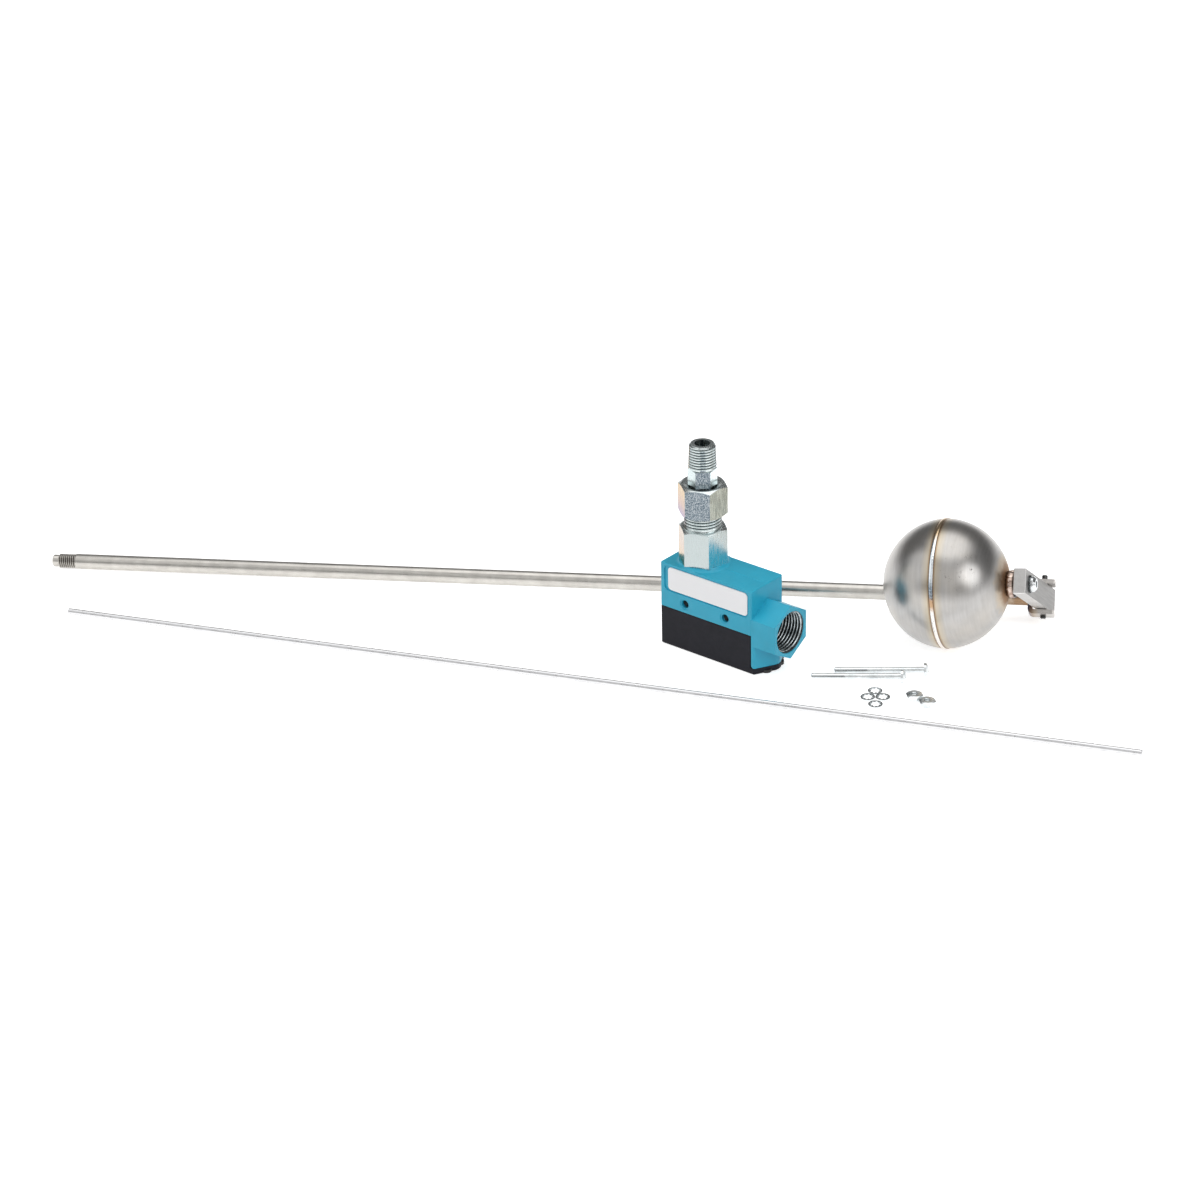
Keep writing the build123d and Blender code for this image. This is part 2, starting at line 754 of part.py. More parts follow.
# Plunger with its collar and the cup for the push rod
with BuildPart() as plunger:
    with BuildSketch(Plane.XZ):
        with BuildLine():
            Polyline(
                (0, plunger_bottom),
                (plunger_radius, plunger_bottom),
                (plunger_radius, collar_bottom),
                (collar_radius, collar_bottom),
                (collar_radius, collar_bottom + collar_height),
                (plunger_radius, collar_bottom + collar_height),
                (plunger_radius, plunger_top),
                (rod_radius + socket_clearance, plunger_top),
                (rod_radius + socket_clearance, plunger_top - cup_depth),
                (0, plunger_top - cup_depth),
                close=True,
            )
        make_face()
    revolve(axis=Axis.Z)

plunger.part.label = "plunger"
export_step(plunger.part, "parts/plunger.step")

# Guide tube with its threaded end and nose
with BuildPart() as guide_tube:
    with BuildSketch(tube_plane):
        with BuildLine():
            Polyline(
                (0, tube_bore_radius),
                (0, tube_nose_radius - tube_chamfer),
                (tube_chamfer, tube_nose_radius),
                (tube_nose_length, tube_nose_radius),
                (tube_nose_length, tube_thread_radius - tube_chamfer),
                (tube_nose_length + tube_chamfer, tube_thread_radius),
                (tube_shoulder - tube_chamfer, tube_thread_radius),
                (tube_shoulder, tube_radius),
                (tube_end, tube_radius),
                (tube_end, tube_bore_radius),
                close=True,
            )
        make_face()
    revolve(axis=tube_axis)

guide_tube.part.label = "guide_tube"
export_step(guide_tube.part, "parts/guide_tube.step")

# Fork bent from strap, with the pin holes and the hole for the rod
with BuildPart() as fork_bracket:
    with BuildSketch(fork_plane):
        with BuildLine():
            FilletPolyline(
                (fork_ear_reach, fork_outer),
                (-fork_web_gap - strap_thickness, fork_outer),
                (-fork_web_gap - strap_thickness, -fork_outer),
                (fork_ear_reach, -fork_outer),
                radius=fork_bend_radius,
            )
            Line((fork_ear_reach, -fork_outer), (fork_ear_reach, -fork_inner))
            FilletPolyline(
                (fork_ear_reach, -fork_inner),
                (-fork_web_gap, -fork_inner),
                (-fork_web_gap, fork_inner),
                (fork_ear_reach, fork_inner),
                radius=fork_bend_radius - strap_thickness,
            )
            Line((fork_ear_reach, fork_inner), (fork_ear_reach, fork_outer))
        make_face()
    extrude(amount=fork_width / 2, both=True)
    thickness_edges = edges().filter_by(Axis(pin_centre, along_pin))
    fillet(thickness_edges.group_by(Axis(pin_centre, along_tube))[-1], fork_ear_radius)
    with BuildSketch(pin_plane):
        Circle(pin_radius)
    extrude(amount=fork_outer, both=True, mode=Mode.SUBTRACT)
    with BuildSketch(web_plane):
        Circle(tube_bore_radius)
    extrude(amount=strap_thickness, mode=Mode.SUBTRACT)

fork_bracket.part.label = "fork_bracket"
export_step(fork_bracket.part, "parts/fork_bracket.step")

# Pin pressed into the fork
with BuildPart() as pivot_pin:
    with BuildSketch(pin_plane.offset(-pin_below)):
        Circle(pin_radius)
    extrude(amount=pin_above + pin_below)
    chamfer(edges().filter_by(GeomType.CIRCLE), pin_chamfer)

pivot_pin.part.label = "pivot_pin"
export_step(pivot_pin.part, "parts/pivot_pin.step")

# Lever block that swings on the pin
with BuildPart() as lever_block:
    with BuildSketch(lever_plane):
        with Locations(((block_reach + block_near_end - block_far_end) / 2, 0)):
            Rectangle(block_reach + block_near_end + block_far_end, block_thickness)
    extrude(amount=block_height / 2, both=True)
    chamfer(edges(), block_edge)
    with BuildSketch(lever_plane):
        Circle(pin_radius + pin_clearance)
    extrude(amount=block_height / 2, both=True, mode=Mode.SUBTRACT)
    with BuildSketch(float_plane):
        with Locations((block_inner, 0)):
            Rectangle(
                block_thickness,
                float_screw_radius + float_screw_clearance,
                align=(Align.MIN, Align.MIN),
            )
    revolve(axis=float_axis, mode=Mode.SUBTRACT)

lever_block.part.label = "lever_block"
export_step(lever_block.part, "parts/lever_block.step")

# Spud welded to the ball, tapped for the float screw
with BuildPart() as float_spud:
    with BuildSketch(float_plane):
        with BuildLine():
            Polyline(
                (ball_at_spud - spud_depth, 0),
                (ball_at_spud - spud_depth, spud_radius),
                (block_inner, spud_radius),
                (block_inner, float_screw_radius),
                (block_inner - float_screw_reach, float_screw_radius),
                (block_inner - float_screw_reach, 0),
                close=True,
            )
        make_face()
    revolve(axis=float_axis)

float_spud.part.label = "float_spud"
export_step(float_spud.part, "parts/float_spud.step")

# Weld fillet between the spud and the ball
with BuildPart() as spud_weld:
    with BuildSketch(float_plane):
        with BuildLine():
            Polyline(
                (ball_at_spud - spud_weld_width, spud_radius),
                (ball_at_spud + spud_weld_width, spud_radius),
                (ball_at_spud - spud_weld_width / 2, spud_radius + spud_weld_width),
                close=True,
            )
        make_face()
        with Locations((-ball_offset - cap_shift, 0)):
            Circle(cap_radius, mode=Mode.SUBTRACT)
    revolve(axis=float_axis)

spud_weld.part.label = "spud_weld"
export_step(spud_weld.part, "parts/spud_weld.step")

# Lock washer and socket screw that hold the float to the block
with BuildPart() as float_lock_washer:
    with BuildSketch(float_plane):
        with Locations((block_outer, float_screw_radius + float_screw_clearance)):
            Rectangle(
                float_washer_thickness,
                float_washer_radius - float_screw_radius - float_screw_clearance,
                align=(Align.MIN, Align.MIN),
            )
    revolve(axis=float_axis)

float_lock_washer.part.label = "float_lock_washer"
export_step(float_lock_washer.part, "parts/float_lock_washer.step")

with BuildPart() as float_screw:
    with BuildSketch(float_plane):
        with BuildLine():
            Polyline(
                (block_inner - float_screw_reach, 0),
                (block_inner - float_screw_reach, float_screw_radius),
                (screw_seat, float_screw_radius),
                (screw_seat, float_head_radius),
                (screw_seat + float_head_height / 2, float_head_radius),
                (screw_head_top, float_head_radius - float_head_height / 2),
                (screw_head_top, 0),
                close=True,
            )
        make_face()
    revolve(axis=float_axis)
    with BuildSketch(screw_head_plane):
        RegularPolygon(float_socket_across_flats / 2, 6, major_radius=False)
    extrude(amount=-float_socket_depth, mode=Mode.SUBTRACT)

float_screw.part.label = "float_screw"
export_step(float_screw.part, "parts/float_screw.step")

# Hollow float: two half shells butted at the welded seam
with BuildPart() as float_half_outer:
    with BuildSketch(float_plane):
        add(half_shell_profile(True, spud_radius))
    revolve(axis=float_axis)

float_half_outer.part.label = "float_half_outer"
export_step(float_half_outer.part, "parts/float_half_outer.step")

with BuildPart() as float_half_inner:
    with BuildSketch(float_plane):
        add(half_shell_profile(False, 0))
    revolve(axis=float_axis)

float_half_inner.part.label = "float_half_inner"
export_step(float_half_inner.part, "parts/float_half_inner.step")

# Weld bead in the groove of the seam
with BuildPart() as seam_weld:
    with BuildSketch(float_plane):
        with BuildLine():
            Polyline(
                (-ball_offset - seam_width / 2, seam_edge),
                (-ball_offset, seam_root),
                (-ball_offset + seam_width / 2, seam_edge),
            )
            ThreePointArc(
                (-ball_offset + seam_width / 2, seam_edge),
                (-ball_offset, ball_radius + seam_rise),
                (-ball_offset - seam_width / 2, seam_edge),
            )
        make_face()
    revolve(axis=float_axis)

seam_weld.part.label = "seam_weld"
export_step(seam_weld.part, "parts/seam_weld.step")

# Push rod
rod_direction = Vector(cos(radians(rod_yaw)), sin(radians(rod_yaw)), 0)
with BuildPart() as push_rod:
    with BuildSketch(Plane(origin=(rod_left_x, rod_left_y, rod_radius), z_dir=rod_direction)):
        Circle(rod_radius)
    extrude(amount=rod_length)
    chamfer(edges().filter_by(GeomType.CIRCLE), rod_chamfer)

push_rod.part.label = "push_rod"
export_step(push_rod.part, "parts/push_rod.step")

# Mounting screws: each lies on the rim of its head and the tip of its thread
screw_droop = asin((screw_head_radius - screw_thread_radius) / screw_length)
with BuildPart() as mounting_screws:
    for (tip_x, tip_y), heading in zip(screw_places, screw_headings):
        forward = Vector(
            cos(screw_droop) * cos(radians(heading)),
            cos(screw_droop) * sin(radians(heading)),
            sin(screw_droop),
        )
        tip = Vector(tip_x, tip_y, screw_thread_radius)
        sideways = Vector(sin(radians(heading)), -cos(radians(heading)), 0)
        with BuildSketch(Plane(origin=tip, x_dir=forward, z_dir=sideways)):
            with BuildLine():
                Polyline(
                    (0, 0),
                    (0, screw_shank_radius),
                    (screw_thread_radius - screw_shank_radius, screw_thread_radius),
                    (screw_thread_length, screw_thread_radius),
                    (screw_thread_length, screw_shank_radius),
                    (screw_length, screw_shank_radius),
                    (screw_length, screw_head_radius),
                    (screw_length + screw_head_height / 2, screw_head_radius),
                )
                RadiusArc(
                    (screw_length + screw_head_height / 2, screw_head_radius),
                    (screw_length + screw_head_height, 0),
                    screw_head_radius * 1.6,
                )
                Line((screw_length + screw_head_height, 0), (0, 0))
            make_face()
        revolve(axis=Axis(tip, forward))
        head_end = tip + forward * (screw_length + screw_head_height)
        with BuildSketch(Plane(origin=head_end, x_dir=sideways, z_dir=forward)):
            Rectangle(screw_slot_length, screw_slot_width)
            Rectangle(screw_slot_width, screw_slot_length)
        extrude(amount=-screw_slot_depth, taper=12, mode=Mode.SUBTRACT)

mounting_screws.part.label = "mounting_screws"
export_step(mounting_screws.part, "parts/mounting_screws.step")

# Nuts lying flat, with bevelled corners on both sides
with BuildPart() as nut:
    with BuildSketch():
        RegularPolygon(nut_across_flats / 2, 6, major_radius=False, rotation=nut_turn)
    extrude(amount=nut_thickness)
    with BuildSketch(Plane.XZ):
        add(hex_corner_profile(nut_across_flats, 0, nut_thickness, True, True))
    revolve(axis=Axis.Z, mode=Mode.INTERSECT)
    with Locations((0, 0, nut_thickness)):
        Hole(nut_bore_radius, nut_thickness)

with BuildPart() as mounting_nuts:
    with Locations(*nut_places):
        add(nut.part)

mounting_nuts.part.label = "mounting_nuts"
export_step(mounting_nuts.part, "parts/mounting_nuts.step")

# Lock washers with teeth on the inside
with BuildPart() as lock_washers:
    with BuildSketch():
        for place in washer_places:
            with Locations(place):
                Circle(washer_radius)
                Circle(washer_radius - washer_ring_width, mode=Mode.SUBTRACT)
                with PolarLocations(washer_tooth_tip_radius, washer_teeth):
                    Rectangle(
                        washer_radius - washer_ring_width / 2 - washer_tooth_tip_radius,
                        washer_tooth_width,
                        align=(Align.MIN, Align.CENTER),
                    )
    extrude(amount=washer_thickness)

lock_washers.part.label = "lock_washers"
export_step(lock_washers.part, "parts/lock_washers.step")
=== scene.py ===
"""Looks of the float level switch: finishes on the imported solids, cut threads, welds and light."""

import json
import logging
import math
from dataclasses import dataclass, field
from enum import Enum

import bmesh
import bpy
from mathutils import Matrix, Vector

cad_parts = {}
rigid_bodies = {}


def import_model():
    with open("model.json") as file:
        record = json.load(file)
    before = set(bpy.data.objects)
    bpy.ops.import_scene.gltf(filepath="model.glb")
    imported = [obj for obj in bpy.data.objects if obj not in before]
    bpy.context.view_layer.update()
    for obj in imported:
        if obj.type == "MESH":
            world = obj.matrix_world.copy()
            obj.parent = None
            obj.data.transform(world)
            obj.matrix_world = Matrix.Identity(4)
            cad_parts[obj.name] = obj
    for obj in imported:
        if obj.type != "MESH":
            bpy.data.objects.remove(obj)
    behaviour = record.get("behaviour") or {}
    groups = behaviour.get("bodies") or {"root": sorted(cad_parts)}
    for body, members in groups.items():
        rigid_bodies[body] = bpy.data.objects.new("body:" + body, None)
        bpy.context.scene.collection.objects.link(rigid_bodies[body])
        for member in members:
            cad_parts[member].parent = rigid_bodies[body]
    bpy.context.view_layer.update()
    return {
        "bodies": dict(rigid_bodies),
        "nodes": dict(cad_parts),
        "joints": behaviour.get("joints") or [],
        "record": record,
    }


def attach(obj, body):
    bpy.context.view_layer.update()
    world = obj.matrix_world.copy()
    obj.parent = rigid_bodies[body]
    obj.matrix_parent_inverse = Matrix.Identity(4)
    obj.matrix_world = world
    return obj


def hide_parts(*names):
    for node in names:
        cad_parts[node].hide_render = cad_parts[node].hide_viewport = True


log = logging.getLogger("level_switch")

MM = 0.001

Socket = bpy.types.NodeSocket
Colour = tuple[float, float, float]


class Stretch(Enum):
    """Direction in which a noise pattern is drawn out."""

    NONE = "none"
    ALONG = "along"
    AROUND = "around"


class Side(Enum):
    """Whether a thread is cut into a shaft or into a bore."""

    SHAFT = "shaft"
    BORE = "bore"


@dataclass(frozen=True)
class Place:
    """A local frame in the part: an origin, a main axis and a direction across it."""

    origin: Vector
    axis: Vector
    across: Vector

    @staticmethod
    def make(origin: Vector, axis: Vector, across: Vector) -> "Place":
        """Builds a place whose across direction is made square to the axis.

        Args:
            origin: Point on the axis, in metres.
            axis: Direction of local Z.
            across: Rough direction of local X.

        Returns:
            The place with unit directions.
        """
        main = axis.normalized()
        side = (across - main * across.dot(main)).normalized()
        return Place(origin.copy(), main, side)

    def matrix(self) -> Matrix:
        """Returns the matrix from local to part coordinates."""
        third = self.axis.cross(self.across)
        turn = Matrix((self.across, third, self.axis)).transposed()
        return Matrix.Translation(self.origin) @ turn.to_4x4()

    def shifted(self, along: float) -> "Place":
        """Returns the same place moved along its axis by some metres."""
        return Place(self.origin + self.axis * along, self.axis, self.across)


UPRIGHT = Place(Vector((0, 0, 0)), Vector((0, 0, 1)), Vector((1, 0, 0)))


class Graph:
    """Node graph of one material, with short calls for what the finishes share."""

    def __init__(self, name: str) -> None:
        """Starts a material with one principled shader.

        Args:
            name: Name of the material.
        """
        self.material = bpy.data.materials.new(name)
        self.material.use_nodes = True
        self.tree = self.material.node_tree
        self.tree.nodes.clear()
        output = self.tree.nodes.new("ShaderNodeOutputMaterial")
        self.shader = self.tree.nodes.new("ShaderNodeBsdfPrincipled")
        self.tree.links.new(self.shader.outputs["BSDF"], output.inputs["Surface"])
        self.position = self.tree.nodes.new("ShaderNodeTexCoord").outputs["Object"]

    def link(self, socket: Socket, target: str) -> None:
        """Feeds a socket into a named input of the shader."""
        self.tree.links.new(socket, self.shader.inputs[target])

    def fixed(self, target: str, value: float) -> None:
        """Sets a named input of the shader to one number."""
        self.shader.inputs[target].default_value = value

    def math(self, operation: str, first: Socket | float, second: Socket | float = 0.0) -> Socket:
        """Adds a math node.

        Args:
            operation: Name of the operation.
            first: First operand, a socket or a number.
            second: Second operand, a socket or a number.

        Returns:
            The result's socket.
        """
        node = self.tree.nodes.new("ShaderNodeMath")
        node.operation = operation
        for slot, value in enumerate((first, second)):
            if isinstance(value, (int, float)):
                node.inputs[slot].default_value = value
            else:
                self.tree.links.new(value, node.inputs[slot])
        return node.outputs[0]

    def vector(self, operation: str, source: Socket, value: Vector | Colour = (0, 0, 0)) -> bpy.types.Node:
        """Adds a vector math node that works on a socket and a fixed vector.

        Args:
            operation: Name of the operation.
            source: Socket of the first vector.
            value: Second vector.

        Returns:
            The node.
        """
        node = self.tree.nodes.new("ShaderNodeVectorMath")
        node.operation = operation
        self.tree.links.new(source, node.inputs[0])
        node.inputs[1].default_value = value
        return node

    def along(self, place: Place) -> Socket:
        """Distance of a point from the place's origin along its axis, in metres."""
        node = self.vector("DOT_PRODUCT", self.position, place.axis)
        return self.math("SUBTRACT", node.outputs["Value"], place.origin.dot(place.axis))

    def local(self, place: Place) -> Socket:
        """Position of a point in the place's own coordinates, in metres."""
        inverse = place.matrix().inverted()
        node = self.tree.nodes.new("ShaderNodeMapping")
        node.inputs["Location"].default_value = inverse.to_translation()
        node.inputs["Rotation"].default_value = inverse.to_euler()
        self.tree.links.new(self.position, node.inputs["Vector"])
        return node.outputs["Vector"]

    def distance(self, spot: Vector) -> Socket:
        """Distance of a point from a fixed spot, in metres."""
        return self.vector("DISTANCE", self.position, spot).outputs["Value"]

    def facing(self, heading: float) -> Socket:
        """Mask of the upright faces that look towards a heading, from 0 to 1.

        Args:
            heading: Heading in degrees, from +X towards +Y.

        Returns:
            The mask's socket.
        """
        turn = math.radians(heading)
        normal = self.tree.nodes.new("ShaderNodeTexCoord").outputs["Normal"]
        node = self.vector("DOT_PRODUCT", normal, (math.cos(turn), math.sin(turn), 0))
        return self.spread(node.outputs["Value"], 0.97, 0.99)

    def radius(self, place: Place) -> Socket:
        """Distance of a point from the place's axis, in metres."""
        flat = self.vector("MULTIPLY", self.local(place), (1, 1, 0))
        return self.vector("LENGTH", flat.outputs[0]).outputs["Value"]

    def noise(self, cell: float, detail: float = 3.0, place: Place | None = None,
              stretch: Stretch = Stretch.NONE, drawn: float = 12.0) -> Socket:
        """Adds a noise pattern.

        Args:
            cell: Size of its cells in metres.
            detail: Number of finer layers.
            place: Local frame that the pattern follows, where it is drawn out.
            stretch: Direction in which it is drawn out.
            drawn: How many times longer it is that way.

        Returns:
            The pattern's socket, from 0 to 1.
        """
        source = self.position if place is None else self.local(place)
        factors = {
            Stretch.NONE: (1.0, 1.0, 1.0),
            Stretch.ALONG: (1.0, 1.0, 1.0 / drawn),
            Stretch.AROUND: (1.0 / drawn, 1.0 / drawn, 1.0),
        }
        scale = self.vector("MULTIPLY", source, factors[stretch])
        node = self.tree.nodes.new("ShaderNodeTexNoise")
        node.inputs["Scale"].default_value = 1.0 / cell
        node.inputs["Detail"].default_value = detail
        self.tree.links.new(scale.outputs[0], node.inputs["Vector"])
        return node.outputs["Fac"]

    def ramp(self, factor: Socket, stops: list[tuple[float, Colour]]) -> Socket:
        """Adds a colour ramp.

        Args:
            factor: Socket that drives it.
            stops: Place and linear colour of each stop.

        Returns:
            The colour's socket.
        """
        node = self.tree.nodes.new("ShaderNodeValToRGB")
        elements = node.color_ramp.elements
        while len(elements) < len(stops):
            elements.new(0.5)
        for element, (place, colour) in zip(elements, stops):
            element.position = place
            element.color = (*colour, 1.0)
        self.tree.links.new(factor, node.inputs["Fac"])
        return node.outputs["Color"]

    def blend(self, factor: Socket | float, low: Socket | Colour, high: Socket | Colour) -> Socket:
        """Mixes two colours by a factor.

        Args:
            factor: 0 gives the low colour, 1 the high one.
            low: Socket or colour.
            high: Socket or colour.

        Returns:
            The mixed colour's socket.
        """
        node = self.tree.nodes.new("ShaderNodeMix")
        node.data_type = "RGBA"
        for name, value in (("Factor_Float", factor), ("A_Color", low), ("B_Color", high)):
            target = next(s for s in node.inputs if s.identifier == name)
            if isinstance(value, (int, float)):
                target.default_value = value
            elif isinstance(value, tuple):
                target.default_value = (*value, 1.0)
            else:
                self.tree.links.new(value, target)
        return next(s for s in node.outputs if s.identifier == "Result_Color")

    def spread(self, value: Socket, low: float, high: float, to_low: float = 0.0,
               to_high: float = 1.0) -> Socket:
        """Maps a range of a value to another range, held at both ends."""
        node = self.tree.nodes.new("ShaderNodeMapRange")
        node.inputs["From Min"].default_value = low
        node.inputs["From Max"].default_value = high
        node.inputs["To Min"].default_value = to_low
        node.inputs["To Max"].default_value = to_high
        self.tree.links.new(value, node.inputs["Value"])
        return node.outputs["Result"]

    def bump(self, height: Socket, depth: float, strength: float = 1.0) -> None:
        """Feeds a bump of some depth in metres into the shader's normal."""
        node = self.tree.nodes.new("ShaderNodeBump")
        node.inputs["Distance"].default_value = depth
        node.inputs["Strength"].default_value = strength
        self.tree.links.new(height, node.inputs["Height"])
        self.link(node.outputs["Normal"], "Normal")


@dataclass(frozen=True)
class Paint:
    """Sprayed enamel on a casting: one colour with a fine orange-peel surface."""

    name: str
    colour: Colour
    roughness: float = 0.38
    peel: float = 0.35 * MM
    depth: float = 0.012 * MM

    def start(self) -> tuple[Graph, Socket]:
        """Begins the paint's graph.

        Returns:
            The graph and the socket of its colour, not yet linked.
        """
        graph = Graph(self.name)
        cloud = graph.noise(9 * MM, 2)
        darker = tuple(channel * 0.95 for channel in self.colour)
        lighter = tuple(min(1.0, channel * 1.04) for channel in self.colour)
        colour = graph.ramp(cloud, [(0.3, darker), (0.7, lighter)])
        graph.link(graph.spread(graph.noise(3 * MM), 0.3, 0.7, self.roughness - 0.05,
                                self.roughness + 0.06), "Roughness")
        graph.fixed("Metallic", 0.0)
        graph.fixed("Specular IOR Level", 0.5)
        graph.bump(graph.noise(self.peel, 2), self.depth)
        return graph, colour


@dataclass(frozen=True)
class Moulding:
    """Moulded plastic or rubber with a fine grain."""

    name: str
    colour: Colour
    roughness: float = 0.5
    grain: float = 0.25 * MM
    depth: float = 0.01 * MM
    lift: float = 1.25
    specular: float = 0.5

    def build(self) -> bpy.types.Material:
        """Returns the material."""
        graph = Graph(self.name)
        lighter = tuple(min(1.0, channel * self.lift) for channel in self.colour)
        graph.link(graph.ramp(graph.noise(5 * MM), [(0.3, self.colour), (0.75, lighter)]), "Base Color")
        graph.link(graph.spread(graph.noise(1.5 * MM), 0.3, 0.7, self.roughness - 0.06,
                                self.roughness + 0.06), "Roughness")
        graph.fixed("Specular IOR Level", self.specular)
        graph.bump(graph.noise(self.grain, 2), self.depth)
        return graph.material


@dataclass(frozen=True)
class Metal:
    """Worked metal: brush marks along or around an axis and cloudy changes of tone."""

    name: str
    dark: Colour
    light: Colour
    roughness: float = 0.28
    cell: float = 0.3 * MM
    drawn: float = 40.0
    stretch: Stretch = Stretch.ALONG
    depth: float = 0.004 * MM
    place: Place | None = None

    def start(self) -> tuple[Graph, Socket]:
        """Begins the metal's graph.

        Returns:
            The graph and the socket of its base colour, not yet linked.
        """
        graph = Graph(self.name)
        marks = graph.noise(self.cell, 4, self.place, self.stretch, self.drawn)
        cloud = graph.noise(6 * MM, 2, self.place)
        tone = graph.math("ADD", graph.math("MULTIPLY", marks, 0.55), graph.math("MULTIPLY", cloud, 0.45))
        colour = graph.ramp(tone, [(0.35, self.dark), (0.65, self.light)])
        graph.fixed("Metallic", 1.0)
        graph.link(graph.spread(marks, 0.3, 0.7, self.roughness - 0.07, self.roughness + 0.09), "Roughness")
        graph.bump(marks, self.depth)
        return graph, colour

    def build(self) -> bpy.types.Material:
        """Returns the plain metal."""
        graph, colour = self.start()
        graph.link(colour, "Base Color")
        return graph.material


@dataclass(frozen=True)
class HeatTint:
    """Colours that a weld leaves in steel: straw, brown and blue by distance from it."""

    straw: Colour = (0.6, 0.44, 0.24)
    brown: Colour = (0.3, 0.17, 0.08)
    blue: Colour = (0.05, 0.06, 0.14)

    def over(self, graph: Graph, base: Socket, distance: Socket, reach: float, blue_core: bool) -> Socket:
        """Lays the tint over a base colour.

        Args:
            graph: Graph of the metal.
            base: Colour of the bare metal.
            distance: Distance from the weld in metres.
            reach: Distance where the tint has faded out, in metres.
            blue_core: Whether the metal by the weld is blued, or only browned.

        Returns:
            The tinted colour's socket.
        """
        wobble = graph.math("MULTIPLY", graph.noise(3.5 * MM, 3), reach * 0.55)
        shifted = graph.math("SUBTRACT", graph.math("ADD", distance, wobble), reach * 0.27)
        step = graph.spread(shifted, 0.0, reach)
        core = self.blue if blue_core else self.brown
        tint = graph.ramp(step, [(0.0, core), (0.35, self.brown), (0.7, self.straw), (1.0, self.straw)])
        strength = graph.spread(step, 0.2, 1.0, 0.9, 0.0)
        return graph.blend(strength, base, tint)


def clean(mesh: bpy.types.Mesh, gap: float) -> None:
    """Merges a mesh's points that lie closer than a gap and turns its faces outward.

    Args:
        mesh: Mesh to clean.
        gap: Largest distance between points that are merged, in metres.
    """
    work = bmesh.new()
    work.from_mesh(mesh)
    bmesh.ops.remove_doubles(work, verts=work.verts, dist=gap)
    bmesh.ops.recalc_face_normals(work, faces=work.faces)
    work.to_mesh(mesh)
    work.free()


def wound_faces(steps: int) -> list[tuple[int, ...]]:
    """Joins four-cornered sections along a winding, with a cap at each end.

    Args:
        steps: Number of steps from the first section to the last.

    Returns:
        Point numbers of each face.
    """
    faces = [(0, 1, 2, 3), tuple(4 * steps + corner for corner in (3, 2, 1, 0))]
    for step in range(steps):
        for corner in range(4):
            after = (corner + 1) % 4
            base = 4 * step
            faces.append((base + corner, base + after, base + 4 + after, base + 4 + corner))
    return faces


def mesh_object(name: str, points: list[Vector], faces: list[tuple[int, ...]],
                smooth: bool = True) -> bpy.types.Object:
    """Makes an object from points and faces.

    Args:
        name: Name of the object.
        points: Points in part coordinates.
        faces: Point numbers of each face.
        smooth: Whether the faces are shaded smooth.

    Returns:
        The new object, linked to the scene.
    """
    mesh = bpy.data.meshes.new(name)
    mesh.from_pydata([tuple(point) for point in points], [], faces)
    clean(mesh, 1e-7)
    mesh.polygons.foreach_set("use_smooth", [smooth] * len(mesh.polygons))
    thing = bpy.data.objects.new(name, mesh)
    bpy.context.scene.collection.objects.link(thing)
    return thing


def lathe(name: str, place: Place, profile: list[tuple[float, float]], steps: int,
          ripple: "Ripple | None" = None) -> bpy.types.Object:
    """Turns a closed profile round a place's axis.

    Args:
        name: Name of the object.
        place: Frame of the turning.
        profile: Points as (radius, distance along the axis), in metres, as a closed loop.
        steps: Number of steps round the axis.
        ripple: Ripple that lifts the profile as it goes round, if any.

    Returns:
        The turned object.
    """
    matrix = place.matrix()
    points = []
    count = len(profile)
    for step in range(steps):
        angle = 2 * math.pi * step / steps
        for index, (radius, height) in enumerate(profile):
            lift = ripple.lift(angle, index / count) if ripple else 0.0
            reach = radius + lift
            points.append(matrix @ Vector((reach * math.cos(angle), reach * math.sin(angle), height)))
    faces = []
    for step in range(steps):
        following = (step + 1) % steps
        for index in range(count):
            after = (index + 1) % count
            faces.append((step * count + index, step * count + after,
                          following * count + after, following * count + index))
    return mesh_object(name, points, faces)


@dataclass(frozen=True)
class Ripple:
    """Scales that a weld pool leaves as the torch goes round."""

    scales: int
    height: float
    lean: float = 1.4

    def lift(self, angle: float, along_profile: float) -> float:
        """Height added at an angle, leaning with the place on the profile."""
        phase = self.scales * angle + self.lean * math.cos(2 * math.pi * along_profile)
        saw = (phase / (2 * math.pi)) % 1.0
        return self.height * (saw - 0.5)


